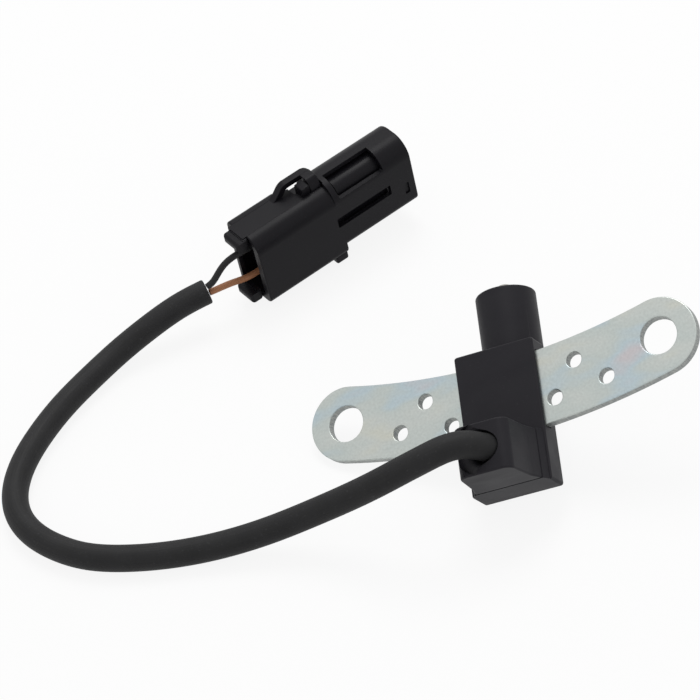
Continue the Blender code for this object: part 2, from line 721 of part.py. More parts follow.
def make_connector_body():
    side, top = CONNECTOR_THICKNESS / 2, CONNECTOR_WIDTH / 2
    beyond = CONNECTOR_THICKNESS
    block = rectangle((-side, -top), (side, top), CONNECTOR_CORNER)
    rear = prism_x([block], 0.0, REAR_LENGTH, CONNECTOR_EDGE)
    body = add_piece("connector_body", rear, CONNECTOR, CONNECTOR_PLASTIC)
    shroud = prism_x([shroud_outline(0.0)], REAR_LENGTH - SHROUD_OVERLAP, CONNECTOR_LENGTH, CONNECTOR_EDGE)
    join(body, "shroud_form", shroud)
    hollow = prism_x([shroud_outline(SHROUD_WALL)], SHROUD_FLOOR, CONNECTOR_LENGTH + beyond)
    cut(body, "shroud_hollow", hollow)
    recess = rectangle((-REAR_RECESS_WIDTH / 2, -REAR_RECESS_HEIGHT / 2),
                       (REAR_RECESS_WIDTH / 2, REAR_RECESS_HEIGHT / 2), REAR_RECESS_CORNER)
    cut(body, "rear_recess", prism_x([recess], -beyond, REAR_RECESS_DEPTH))
    seal, contact = SEAL_BORE_DIAMETER / 2, CONTACT_BORE_DIAMETER / 2
    start, end = REAR_RECESS_DEPTH / 2, SHROUD_FLOOR + SHROUD_WALL
    for level in (-CAVITY_PITCH / 2, CAVITY_PITCH / 2):
        bore = turned([(0.0, end), (contact, end), (contact, SEAL_BORE_DEPTH), (seal, SEAL_BORE_DEPTH),
                       (seal, start), (0.0, start)], SMALL_STEPS)
        cut(body, "cavity", along_x(bore, z=level))
    for face in (-1, 1):
        cut(body, "arm_groove", groove_form(face))
        cut(body, "loop_relief", relief_form(face))
        cut(body, "loop_notch", notch_form(face))
        join(body, "latch_tooth", tooth_form(face))
    window_low, window_high = (-beyond, CORNER_WINDOW_SIDE), (CORNER_WINDOW_TOP, beyond * 2)
    cut(body, "corner_window", prism_x([rectangle(window_low, window_high)], CORNER_WINDOW_START,
                                       CORNER_WINDOW_END))
    slot_low, slot_high = (-beyond, SLOT_LOW), (-side + 1.5 * SHROUD_WALL, SLOT_LOW + SLOT_HEIGHT)
    cut(body, "side_slot", prism_x([rectangle(slot_low, slot_high)], SLOT_START, SLOT_END))
    return body


def groove_form(face):
    half = LOCK_ARM_WIDTH / 2 + GAP
    low, high = sorted((face * arm_floor(), face * CONNECTOR_WIDTH))
    return box((-REAR_LENGTH, -half, low), (LOOP_END + 2 * GAP, half, high))


def relief_form(face):
    """The narrow side is cut back under the loop, open to the far side."""
    low, high = sorted((face * arm_floor(), face * CONNECTOR_WIDTH))
    return box((LOOP_START, 0.0, low), (LOOP_END + 2 * GAP, CONNECTOR_THICKNESS, high))


def notch_form(face):
    """A deeper notch behind the tooth, on the far side, which lets the loop flex."""
    low, high = sorted((face * NOTCH_LEVEL, face * CONNECTOR_WIDTH))
    return box((NOTCH_START, NOTCH_SIDE, low), (NOTCH_END, CONNECTOR_THICKNESS, high))


def tooth_form(face):
    end = LOOP_END - LOOP_BAR - GAP
    start = end - TOOTH_LENGTH
    foot = arm_floor() - LOCK_ARM_THICKNESS / 2
    crest = CONNECTOR_WIDTH / 2 + LOOP_RISE - LOCK_ARM_THICKNESS / 2
    outline = [(start, foot), (end, foot), (end, crest), (end - TOOTH_LENGTH / 3, crest),
               (start, arm_floor() + LOCK_ARM_THICKNESS / 2)]
    if face < 0:
        outline = [(x, -z) for x, z in reversed(outline)]
    return prism_y([outline], -TOOTH_WIDTH / 2, TOOTH_WIDTH / 2)


def make_connector_core():
    start = SHROUD_FLOOR + GAP
    outline = shroud_outline(SHROUD_WALL + TOWER_CLEARANCE)
    core = add_piece("connector_core", prism_x([outline], start, start + TOWER_LENGTH, TOWER_EDGE), CONNECTOR,
                     CONNECTOR_PLASTIC)
    for level in (-CAVITY_PITCH / 2, CAVITY_PITCH / 2):
        bore = rod(TOWER_PIN_BORE / 2, 0.0, CONNECTOR_LENGTH)
        cut(core, "pin_bore", along_x(bore, z=level))


def arm_form(face):
    """One arm of the lock: flush with the narrow side, then stepped out as the loop."""
    outer = CONNECTOR_WIDTH / 2
    inner = outer - LOCK_ARM_THICKNESS
    step, lead = LOOP_RISE, 0.3 * LOOP_RISE
    outline = [(-LOCK_FRAME, inner), (LOOP_START - step, inner), (LOOP_START, inner + step),
               (LOOP_END, inner + step), (LOOP_END, outer + step), (LOOP_START - lead, outer + step),
               (LOOP_START - lead - step, outer), (-LOCK_FRAME, outer)]
    if face < 0:
        outline = [(x, -z) for x, z in reversed(outline)]
    return prism_y([outline], -LOCK_ARM_WIDTH / 2, LOCK_ARM_WIDTH / 2, LOCK_EDGE)


def make_secondary_lock():
    half, top = LOCK_ARM_WIDTH / 2 - LOCK_EDGE, CONNECTOR_WIDTH / 2 - GAP
    side, reach = half - LOCK_BAND, CAVITY_PITCH / 2 + LOCK_WINDOW_REACH
    loops = [rectangle((-half, -top), (half, top), LOCK_CORNER),
             rectangle((-side, -reach), (side, reach), LOCK_BAND)]
    frame = prism_x(loops, -LOCK_FRAME - GAP, -GAP)
    lock = add_piece("secondary_lock", frame, CONNECTOR, CONNECTOR_PLASTIC)
    end = LOOP_END - LOOP_BAR
    for face in (-1, 1):
        join(lock, "lock_arm", arm_form(face))
        low, high = sorted((face * (top - TAB_HEIGHT), face * (top - LOCK_EDGE)))
        join(lock, "lock_tab", box((-LOCK_FRAME - TAB_LENGTH, -TAB_WIDTH / 2, low),
                                   (-LOCK_FRAME / 2, TAB_WIDTH / 2, high), TAB_EDGE, segments=1))
        low, high = sorted((face * top, face * 2 * top))
        cut(lock, "loop_window", box((end - LOOP_WINDOW_LENGTH, -LOOP_WINDOW_WIDTH / 2, low),
                                     (end, LOOP_WINDOW_WIDTH / 2, high)))
    return lock


def seal_profile():
    """A ribbed sleeve: each rib is a low trapezium on a thinner wall."""
    outer = SEAL_BORE_DIAMETER / 2 - GAP
    root = outer - SEAL_GROOVE
    inner = WIRE_DIAMETER / 2 + GAP
    pitch = SEAL_LENGTH / SEAL_RIBS
    profile = []
    for i in range(SEAL_RIBS):
        top = SEAL_START + SEAL_LENGTH - i * pitch
        profile += [(root, top), (outer, top - 0.3 * pitch), (outer, top - 0.5 * pitch),
                    (root, top - 0.8 * pitch)]
    return profile + [(root, SEAL_START), (inner, SEAL_START), (inner, SEAL_START + SEAL_LENGTH)]


def make_contacts():
    start = SEAL_BORE_DEPTH + GAP
    crimp_end = start + CRIMP_LENGTH
    body_end = crimp_end + CONTACT_BODY_LENGTH
    tip = body_end + PIN_LENGTH
    for name, level in (("upper", CAVITY_PITCH / 2), ("lower", -CAVITY_PITCH / 2)):
        seal = turned(seal_profile(), closed=True)
        add_piece("wire_seal_" + name, along_x(seal, z=level), CONNECTOR, SEAL_RUBBER)
        pin, body, crimp = PIN_DIAMETER / 2, CONTACT_DIAMETER / 2, CRIMP_DIAMETER / 2
        contact = turned([(0.0, tip), (pin / 2, tip), (pin, tip - pin), (pin, body_end), (body, body_end),
                          (body, crimp_end), (crimp, crimp_end), (crimp, start), (0.0, start)], SMALL_STEPS)
        add_piece("contact_" + name, along_x(contact, z=level), CONNECTOR, BRASS)


clear_scene()
PIECES = add_collection("crankshaft_position_sensor")
CUTTERS = add_collection("cutters", hidden=True)
SENSOR = add_frame("sensor_frame", SENSOR_PLACE, SENSOR_TURN)
CONNECTOR = add_frame("connector_frame", CONNECTOR_PLACE, CONNECTOR_TURN)
ZINC = plastic("zinc_plated_steel", (0.52, 0.55, 0.53), 0.35, 0.9)
BODY_PLASTIC = plastic("black_nylon", (0.022, 0.021, 0.026), 0.5)
CONNECTOR_PLASTIC = plastic("connector_nylon", (0.02, 0.02, 0.024), 0.48)
BOBBIN_PLASTIC = plastic("bobbin_nylon", (0.4, 0.36, 0.28), 0.5)
IRON = plastic("soft_iron", (0.6, 0.59, 0.56), 0.35, 1.0)
MAGNET = plastic("nickel_plated_magnet", (0.55, 0.53, 0.5), 0.25, 1.0)
COPPER = plastic("enamelled_copper", (0.55, 0.22, 0.09), 0.35, 0.8)
BRASS = plastic("tinned_brass", (0.62, 0.58, 0.42), 0.35, 1.0)
RESIN = plastic("potting_resin", (0.03, 0.03, 0.03), 0.3)
JACKET_RUBBER = plastic("jacket_rubber", (0.018, 0.018, 0.019), 0.6)
BLACK_WIRE = plastic("black_insulation", (0.02, 0.02, 0.02), 0.5)
BROWN_WIRE = plastic("brown_insulation", (0.3, 0.12, 0.05), 0.5)
SEAL_RUBBER = plastic("seal_silicone", (0.35, 0.1, 0.06), 0.6)

make_bracket()
make_housing()
make_cable_housing()
make_coil()
make_terminals()
make_leads()
make_cable()
make_connector_body()
make_connector_core()
make_secondary_lock()
make_contacts()
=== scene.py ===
"""Dresses the crankshaft position sensor: a zinc-plated bracket, the moulded sensor, its cable and a
two-way connector."""

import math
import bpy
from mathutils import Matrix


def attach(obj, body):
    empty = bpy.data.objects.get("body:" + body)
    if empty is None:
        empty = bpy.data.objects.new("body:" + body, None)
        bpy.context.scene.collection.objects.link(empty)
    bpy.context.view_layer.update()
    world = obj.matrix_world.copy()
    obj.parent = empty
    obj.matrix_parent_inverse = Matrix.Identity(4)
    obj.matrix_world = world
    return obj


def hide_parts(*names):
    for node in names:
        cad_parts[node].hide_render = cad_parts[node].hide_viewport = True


bl_info = {
    "name": "Crankshaft position sensor",
    "version": (1, 0, 0),
    "blender": (4, 5, 0),
    "location": "3D View > Sidebar > Sensor",
    "description": "Builds the visible pieces of a crankshaft position sensor round its solid model",
    "category": "Object",
}

import bmesh
import bpy
import numpy as np
from bpy.props import FloatProperty, FloatVectorProperty, IntProperty, PointerProperty
from mathutils import Euler, Matrix, Vector

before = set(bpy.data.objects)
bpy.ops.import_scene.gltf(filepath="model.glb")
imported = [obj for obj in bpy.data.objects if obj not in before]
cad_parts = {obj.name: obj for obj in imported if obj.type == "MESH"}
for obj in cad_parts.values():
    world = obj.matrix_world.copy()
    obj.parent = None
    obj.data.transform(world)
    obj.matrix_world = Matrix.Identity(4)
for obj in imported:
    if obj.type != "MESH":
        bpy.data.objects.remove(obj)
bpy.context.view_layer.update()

MM = 0.001
# The play between pieces, and how far a cutter reaches past a face.
GAP, PAST = 0.3 * MM, 2.0 * MM
# Sides of a round form that isn't given its own.
ROUND = 64
ROOT = "root"

# The sensor's own axes: x along the bracket, y towards the barrel's tip, z out of the front face.
SENSOR = Matrix.LocRotScale(
    Vector((-0.00042, 0.00028, 0.02174)),
    Euler((math.radians(26.386), math.radians(-17.987), 0.0)),
    None,
)
# The connector's own axes: x towards its mouth, y across its thickness, z across its width.
CONNECTOR = Matrix.LocRotScale(
    Vector((-0.07573, 0.05738, 0.01508)),
    Euler((0.0, math.radians(-1.0), math.radians(43.2))),
    None,
)

# Points on the cable's centre line, from inside the cover to the cut end.
JACKET_ROUTE = (
    (0.0016, -0.0264, 0.0241),
    (-0.0022, -0.0285, 0.0274),
    (-0.0050, -0.0295, 0.0293),
    (-0.0103, -0.0317, 0.0306),
    (-0.0151, -0.0336, 0.0297),
    (-0.0211, -0.0349, 0.0271),
    (-0.0274, -0.0352, 0.0233),
    (-0.0376, -0.0349, 0.0170),
    (-0.0478, -0.0351, 0.0118),
    (-0.0579, -0.0363, 0.0080),
    (-0.0680, -0.0378, 0.0054),
    (-0.0782, -0.0395, 0.0041),
    (-0.0882, -0.0409, 0.0038),
    (-0.0986, -0.0414, 0.0038),
    (-0.1094, -0.0401, 0.0038),
    (-0.1170, -0.0371, 0.0038),
    (-0.1241, -0.0324, 0.0038),
    (-0.1294, -0.0262, 0.0038),
    (-0.1321, -0.0196, 0.0038),
    (-0.1329, -0.0123, 0.0038),
    (-0.1319, -0.0039, 0.0038),
    (-0.1293, 0.0049, 0.0038),
    (-0.1244, 0.0161, 0.0038),
    (-0.1183, 0.0261, 0.0040),
    (-0.1113, 0.0347, 0.0052),
    (-0.1028, 0.0411, 0.0081),
    (-0.0939, 0.0467, 0.0106),
    (-0.0873, 0.0502, 0.0116),
)
# The wires' points are in the connector's axes.
BLACK_ROUTE = (
    (-0.0133, 0.0026, -0.0017),
    (-0.0117, 0.0022, -0.0010),
    (-0.0092, 0.0018, 0.0012),
    (-0.0065, 0.0014, 0.0033),
    (-0.0031, 0.0006, 0.0046),
    (0.0008, 0.0, 0.0049),
    (0.0050, 0.0, 0.0049),
    (0.0120, 0.0, 0.0049),
)
BROWN_ROUTE = (
    (-0.0130, 0.0026, -0.0040),
    (-0.0110, 0.0022, -0.0041),
    (-0.0062, 0.0013, -0.0044),
    (-0.0022, 0.0004, -0.0048),
    (0.0018, 0.0, -0.0049),
    (0.0050, 0.0, -0.0049),
    (0.0120, 0.0, -0.0049),
)

# Sizes in metres, in the sensor's or the connector's axes. Most are shared with the solid model, and the
# smallest details are only here.
# The bracket's small holes on one side, half the width of the slab round it, and the depths between which
# the plated face gives way to the wall that the punch sheared.
TOOLING_HOLES = ((0.0148, -0.0087), (0.0214, -0.0001), (0.0296, -0.0068))
SLOT_REACH = 0.0113
SHEARED_BAND = (0.20 * MM, 0.35 * MM)
# Slab, base and neck.
SLAB_TOP, SLAB_BOTTOM, SLAB_FRONT, SLAB_BACK = 0.0090, -0.0302, 0.0012, -0.0068
BASE_TOP, BASE_FRONT, BASE_WIDTH = -0.0165, 0.0032, 0.0194
BASE_SHOULDER_WIDTH, BASE_SHOULDER, NECK_WIDTH = 0.0214, 0.0013, 0.0140
SLAB_CORNER, BASE_EDGE = 0.8 * MM, 0.25 * MM
POCKET_WIDTH, POCKET_WALL, POCKET_FLOOR = 0.0106, 0.0022, 0.0011
# Barrel, its bore and the pole piece.
BARREL_AXIS, BARREL_EDGE, BARREL_END = -0.01315, 0.0006, -0.00755
BORE_RADIUS, BORE_FRONT, BORE_END = 0.00695, 0.02635, -0.00565
POLE_BORE, POLE_PROUD, POLE_CHAMFER, FLANGE_REAR = 0.0023, 0.0027, 0.35 * MM, 0.00675
# Cover, and the pocket round the cable.
COVER_FOOT, COVER_BACK, COVER_WAIST_SIDE, COVER_WAIST = 0.0095, 0.00326, 0.0083, 0.0076
COVER_SIDE, COVER_FRONT, COVER_ROOF = 0.0073, 0.01815, 0.00475
COVER_ROUND, COVER_WAIST_ROUND, COVER_EDGE = 0.0025, 1.2 * MM, 0.5 * MM
EXIT_HEIGHT, EXIT_LEAN = -0.0232, math.radians(28.0)
EXIT_POCKET, EXIT_POCKET_DEPTH, EXIT_CHAMFER, JACKET_INSERT = 0.0084, 0.0030, 0.4 * MM, 0.0055
# The flare of the pocket's mouth: how far out of its wall, and how far out of the cover's face.
EXIT_FLARE = ((0.0, -1.4 * MM), (0.2 * MM, -0.6 * MM), (0.7 * MM, 0.1 * MM), (1.5 * MM, 0.6 * MM),
              (3.0 * MM, 1.0 * MM))
# Rear block and shroud of the connector.
REAR_LENGTH, REAR_EDGE, NEAR_ROUND = 0.02805, 0.45 * MM, 0.0050
SHROUD_FLOOR, SHROUD_LOW, SHROUD_HIGH, SHROUD_EDGE = 0.0296, -0.0090, 0.01315, 0.5 * MM
SEAL_BORE, SEAL_BORE_DEPTH, CONTACT_BORE, LEAST_CORNER = 0.0070, 0.0120, 0.0046, 0.0006
RECESS_DEPTH, RECESS_HEIGHT, RECESS_WIDTH, RECESS_ROUND = 0.0042, 0.0176, 0.0100, 1.0 * MM
WINDOW_START, WINDOW_END, WINDOW_SIDE, WINDOW_TOP = 0.0288, 0.0445, 0.0084, -0.0003
WINDOW_ROUND = 0.5 * MM
SLOT_START, SLOT_END, SLOT_LOW, SLOT_HEIGHT, SLOT_ROUND = 0.0265, 0.0455, -0.0010, 0.0033, 0.3 * MM
NOTCH_START, NOTCH_END, NOTCH_SIDE, NOTCH_LEVEL = 0.0190, 0.0245, 0.0030, 0.0080
TOWER_LENGTH, TOWER_CLEARANCE, TOWER_CORNER, TOWER_EDGE = 0.0160, 0.0010, 0.0012, 0.45 * MM
PIN_BORE, PIN_LEAD = 0.0026, 0.5 * MM
SEAL_START, SEAL_LENGTH, SEAL_RIB = 0.0050, 0.0066, 0.7 * MM
# A step under the shroud's rim, a pit in its near side and a nub under the rear block.
RIM_STEP, RIM_STEP_RISE = 0.0434, 0.6 * MM
PIT_START, PIT_LENGTH, PIT_LOW, PIT_HEIGHT = 0.0500, 0.0016, -0.0043, 0.0038
PIT_DEPTH, PIT_ROUND = 0.5 * MM, 0.2 * MM
NUB_START, NUB_END, NUB_RISE, NUB_DEPTH, NUB_EDGE = 0.0236, 0.0277, 0.0019, (0.5 * MM, 3.0 * MM), 0.6 * MM
# The lock's arms, their seams in the block, the loops on them, and the teeth that the loops snap over.
ARM_WIDTH, ARM_NEAR, ARM_THICKNESS, ARM_EDGE = 0.0088, 0.0027, 0.0016, 0.1 * MM
LOOP_START, LOOP_END, LOOP_RISE = 0.0155, 0.0267, 0.0036
RING_START, RING_END, RING_CORNER, RING_NEAR, RING_FAR = 0.0185, 0.0271, 0.0026, 0.0010, 0.0048
RING_WINDOW_START, RING_WINDOW_END, RING_INSIDE, RING_FOOT = 0.0197, 0.0236, 0.0026, -0.0022
RISER_LEAD, RISER_ROUND, RISER_FOOT_ROUND = 0.3, 1.2 * MM, 1.0 * MM
CREST_ROUND, UNDER_ROUND, UNDER_END_ROUND = 1.0 * MM, 0.6 * MM, 0.3 * MM
BAR_LEAN, BAR_FOOT_ROUND, BAR_TOP_ROUND, BAR_EDGE = 1.5 * MM, 0.5 * MM, 0.8 * MM, 0.4 * MM
TOOTH_LENGTH, TOOTH_WIDTH, TOOTH_LEAN, TOOTH_EDGE = 0.0026, 0.0038, 0.5 * MM, 0.3 * MM
# SEAM is the play beside an arm. SLIP keeps faces that a Boolean joins out of one plane.
SEAM, SLIP = 0.03 * MM, 0.04 * MM
# The lock's frame, its window and its tabs.
LOCK_FRAME, FRAME_WIDTH, FRAME_ROUND = 0.0013, 0.0068, 0.5 * MM
FRAME_WINDOW_REACH, FRAME_WINDOW_WALL, FRAME_WINDOW_ROUND = 2.9 * MM, 1.0 * MM, 0.8 * MM
TAB_LENGTH, TAB_HEIGHT, TAB_WIDTH, TAB_INSET, TAB_ROUND = 0.0027, 0.0031, 0.0072, 0.2 * MM, 1.1 * MM

# The photograph's camera: its place, its right, up and viewing directions, and its film in millimetres.
CAMERA_PLACE = (0.10898, -0.54392, 0.5719)
CAMERA_AXES = ((0.9811, 0.1027, -0.1637), (0.0436, 0.7074, 0.7054), (-0.1883, 0.6993, -0.6896))
FILM_WIDTH, CLIP_START, CLIP_END = 36.0, 0.01, 20.0
# Half the side of the floor, in metres.
FLOOR_HALF = 6.0
WHITE = (1.0, 1.0, 1.0, 1.0)
# Where the lamps point, and each one's name, place, diameter in metres and power in watts.
LAMP_AIM = (-0.04, 0.01, 0.02)
LAMPS = (("key", (-0.03, 0.50, 0.95), 0.6, 4.6), ("fill", (0.70, -0.35, 0.95), 0.9, 0.25))

# What the operators made of the cable and the connector. The cable facts operator only looks for the
# connector in it.
CABLE_END = {}


def linear(code):
    """An sRGB hex colour as linear red, green and blue."""
    parts = [int(code[i:i + 2], 16) / 255.0 for i in (1, 3, 5)]
    return tuple(c / 12.92 if c <= 0.04045 else ((c + 0.055) / 1.055) ** 2.4 for c in parts)


def length(name, description, default):
    return FloatProperty(name=name, description=description, default=default, min=0.0,
                         unit="LENGTH", subtype="DISTANCE", precision=5)


def colour(name, description, code):
    return FloatVectorProperty(name=name, description=description, default=linear(code),
                               size=3, min=0.0, max=1.0, subtype="COLOR")


class BracketSettings(bpy.types.PropertyGroup):
    """Sizes and colours of the steel bracket"""

    thickness: length("Thickness", "Thickness of the steel strip", 0.003)
    width: length("Width", "Width of the steel strip", 0.0206)
    arc_radius: length("Arc radius", "Radius of the strip's centre line", 0.1935)
    bolt_pitch: length("Bolt pitch", "Distance between the bolt holes", 0.090)
    bolt_hole: length("Bolt hole", "Diameter of each bolt hole", 0.010)
    tooling_hole: length("Tooling hole", "Diameter of each small hole", 0.0042)
    edge: length("Edge", "Rounding of the punched edge", 0.0003)
    plating: colour("Plating", "Colour of the zinc plating", "#A5ACA8")


class HousingSettings(bpy.types.PropertyGroup):
    """Sizes and colours of the sensor's mouldings"""

    slab_width: length("Body width", "Width of the moulding round the bracket", 0.0226)
    barrel_diameter: length("Barrel diameter", "Outside diameter of the barrel", 0.0163)
    barrel_tip: length("Barrel tip", "Height of the barrel's tip above the bolt holes' line", 0.02805)
    pole_diameter: length("Pole diameter", "Diameter of the pole piece", 0.0040)
    edge: length("Edge", "Rounding of the mouldings' outer edges", 0.0005)
    plastic: colour("Plastic", "Colour of the body's nylon", "#242327")


class CableSettings(bpy.types.PropertyGroup):
    """Sizes and colours of the cable and its wires"""

    jacket_diameter: length("Cable diameter", "Outside diameter of the cable", 0.0072)
    wire_diameter: length("Wire diameter", "Outside diameter of each wire", 0.0019)
    jacket: colour("Cable colour", "Colour of the cable's jacket", "#212122")
    brown: colour("Brown wire", "Colour of the brown insulation", "#B07A58")


class ConnectorSettings(bpy.types.PropertyGroup):
    """Sizes and colours of the connector"""

    body_length: length("Length", "Length of the connector's moulding", 0.05395)
    width: length("Width", "Width across the two contacts", 0.0233)
    thickness: length("Thickness", "Thickness of the moulding", 0.01475)
    corner: length("Corner", "Rounding of the rear part's long edges", 0.0020)
    shroud_low: length("Shroud lower corner", "Rounding of the shroud's lower long edges", 0.0022)
    shroud_high: length("Shroud upper corner", "Rounding of the shroud's upper long edges", 0.0060)
    wall: length("Wall", "Thickness of the shroud's wall", 0.0013)
    pitch: length("Contact pitch", "Distance between the two contacts", 0.0098)
    seal_ribs: IntProperty(name="Seal ribs", description="Ribs on each wire seal", default=3, min=1, max=5)
    plastic: colour("Plastic", "Colour of the connector's nylon", "#131216")


class StageSettings(bpy.types.PropertyGroup):
    """Light and floor of the studio"""

    lens: FloatProperty(name="Lens", description="Focal length of the camera", default=154.3, min=10.0,
                        unit="CAMERA")
    floor: colour("Floor", "Colour of the floor", "#F4F4F4")
    sky: FloatProperty(name="Sky", description="Strength of the even light from all round", default=0.62,
                       min=0.0, soft_max=2.0)
    floor_lift: FloatProperty(name="Floor lift", default=0.88, min=0.0, max=1.0,
                              description="Share of white that the camera sees in the floor")


# Forms


def block(low, high, edge=0.0, along=None, segments=4):
    """A box between two corners, with all its edges or those along one axis rounded."""
    form = bmesh.new()
    bmesh.ops.create_cube(form, size=1.0)
    size = Vector(high) - Vector(low)
    bmesh.ops.scale(form, vec=size, verts=form.verts)
    bmesh.ops.translate(form, vec=(Vector(high) + Vector(low)) / 2, verts=form.verts)
    if edge > 0.0:
        ease(form, [e for e in form.edges if along is None or runs_along(e, along)], edge, segments)
    return form


def runs_along(edge, axis):
    run = edge.verts[1].co - edge.verts[0].co
    return abs(run[axis]) > 0.99 * run.length


def ease(form, edges, width, segments=4, clamp=True):
    """Rounds edges by a width. Without the clamp, short edges nearby don't narrow it."""
    bmesh.ops.bevel(form, geom=edges, offset=width, offset_type="OFFSET", segments=segments, profile=0.5,
                    affect="EDGES", clamp_overlap=clamp, material=-1)


def rod(radius, low, high, edge=0.0, segments=ROUND):
    """A cylinder along z between two heights, with both rims rounded."""
    form = bmesh.new()
    bmesh.ops.create_cone(form, cap_ends=True, segments=segments, radius1=radius, radius2=radius,
                          depth=high - low)
    bmesh.ops.translate(form, vec=(0.0, 0.0, (high + low) / 2), verts=form.verts)
    if edge > 0.0:
        rims = [e for e in form.edges if any(len(f.verts) > 4 for f in e.link_faces)]
        ease(form, rims, edge)
    return form


def turned(profile, segments=ROUND, closed=False):
    """A profile of (radius, height) spun round z."""
    form = bmesh.new()
    points = [form.verts.new((radius, 0.0, height)) for radius, height in profile]
    pairs = list(zip(points, points[1:]))
    if closed:
        pairs.append((points[-1], points[0]))
    chain = [form.edges.new(pair) for pair in pairs]
    bmesh.ops.spin(form, geom=points + chain, cent=(0.0, 0.0, 0.0), axis=(0.0, 0.0, 1.0),
                   angle=2.0 * math.pi, steps=segments, use_merge=True, use_duplicate=False)
    bmesh.ops.remove_doubles(form, verts=form.verts, dist=0.001 * MM)
    return outward(form)


def outward(form):
    """The form with its faces turned outwards."""
    bmesh.ops.recalc_face_normals(form, faces=form.faces)
    return form


def prism(corners, low, high, segments=8):
    """An outline of (u, v, radius) corners, each rounded, and extruded along the third axis."""
    form = bmesh.new()
    points = [form.verts.new((corner[0], corner[1], low)) for corner in corners]
    form.faces.new(points)
    for point, corner in zip(points, corners):
        if len(corner) > 2 and corner[2] > 0.0:
            bmesh.ops.bevel(form, geom=[point], offset=corner[2], offset_type="OFFSET", segments=segments,
                            profile=0.5, affect="VERTICES", clamp_overlap=True, material=-1)
    return outward(extruded(form, high - low))


def extruded(form, rise):
    """The form's flat faces carried along z, with walls round them."""
    raised = bmesh.ops.extrude_face_region(form, geom=form.faces[:])["geom"]
    lifted = [item for item in raised if isinstance(item, bmesh.types.BMVert)]
    bmesh.ops.translate(form, vec=(0.0, 0.0, rise), verts=lifted)
    return form


def rectangle(half_u, low_v, high_v, radius):
    """The corners of a rounded rectangle, for a prism."""
    return [(-half_u, low_v, radius), (half_u, low_v, radius), (half_u, high_v, radius),
            (-half_u, high_v, radius)]


ALONG_X = Matrix(((0, 0, 1, 0), (1, 0, 0, 0), (0, 1, 0, 0), (0, 0, 0, 1)))
ALONG_Y = Matrix(((1, 0, 0, 0), (0, 0, 1, 0), (0, 1, 0, 0), (0, 0, 0, 1)))


def laid(form, matrix, offset=(0.0, 0.0, 0.0)):
    """The form turned so that its z runs along another axis, and moved."""
    bmesh.ops.transform(form, matrix=Matrix.Translation(offset) @ matrix, verts=form.verts)
    return outward(form)


def rims_at(form, axis, level):
    """The edges of a form that lie in one end plane."""
    return [e for e in form.edges if all(abs(v.co[axis] - level) < 0.001 * MM for v in e.verts)]


def linked(obj):
    bpy.context.scene.collection.objects.link(obj)
    return obj


def loose(name, form):
    """A form as an object of its own."""
    mesh = bpy.data.meshes.new(name)
    form.to_mesh(mesh)
    form.free()
    return linked(bpy.data.objects.new(name, mesh))


def evaluated(obj, helpers):
    """The object's mesh with its modifiers applied, as a form. The object and its helpers go."""
    bpy.context.view_layer.update()
    graph = bpy.context.evaluated_depsgraph_get()
    mesh = bpy.data.meshes.new_from_object(obj.evaluated_get(graph))
    form = bmesh.new()
    form.from_mesh(mesh)
    bpy.data.meshes.remove(mesh)
    for used in (obj, *helpers):
        old = used.data
        bpy.data.objects.remove(used, do_unlink=True)
        bpy.data.meshes.remove(old)
    return form


def combined(form, operation, others):
    """Boolean of a form with several others: UNION adds them, DIFFERENCE cuts them away and INTERSECT
    keeps what they share."""
    base = loose("base", form)
    tools = [loose("tool", other) for other in others]
    for tool in tools:
        modifier = base.modifiers.new("boolean", "BOOLEAN")
        modifier.operation = operation
        modifier.solver = "EXACT"
        modifier.object = tool
    made = evaluated(base, tools)
    bmesh.ops.remove_doubles(made, verts=made.verts, dist=0.001 * MM)
    bmesh.ops.dissolve_limit(made, angle_limit=math.radians(0.3), verts=made.verts, edges=made.edges)
    return outward(made)


def smooth_route(points, spacing):
    """Points at an even spacing on a natural cubic spline through the given ones."""
    knots = np.array(points)
    steps = np.linalg.norm(np.diff(knots, axis=0), axis=1)
    at = np.concatenate([[0.0], np.cumsum(steps)])
    count = len(knots)
    system = np.eye(count)
    right = np.zeros((count, 3))
    for i in range(1, count - 1):
        before, after = steps[i - 1], steps[i]
        system[i, i - 1:i + 2] = before, 2.0 * (before + after), after
        slopes = (knots[i + 1] - knots[i]) / after - (knots[i] - knots[i - 1]) / before
        right[i] = 6.0 * slopes
    bends = np.linalg.solve(system, right)
    samples = np.linspace(0.0, at[-1], max(3, int(round(at[-1] / spacing)) + 1))
    route = []
    for s in samples:
        i = min(np.searchsorted(at, s, side="right") - 1, count - 2)
        span = steps[i]
        a, b = (at[i + 1] - s) / span, (s - at[i]) / span
        curve = (a**3 - a) * bends[i] + (b**3 - b) * bends[i + 1]
        route.append(Vector(a * knots[i] + b * knots[i + 1] + curve * span**2 / 6.0))
    return route


def route_length(route):
    return sum((after - before).length for before, after in zip(route, route[1:]))


def rounded_ends(stops, width, edge):
    """The stops of a route with its two ends replaced by stops that round them off."""
    steps = [math.radians(angle) for angle in (90.0, 60.0, 30.0, 0.0)]
    rim = [(edge * (1.0 - math.sin(a)), 1.0 - edge / width * (1.0 - math.cos(a))) for a in steps]
    (start, first, aim, _), (end, last, goal, _) = stops[0], stops[-1]
    head = [(start + shift, first + aim * shift, aim, scale) for shift, scale in rim]
    tail = [(end - shift, last - goal * shift, goal, scale) for shift, scale in reversed(rim)]
    middle = [stop for stop in stops if start + edge < stop[0] < end - edge]
    return head + middle + tail


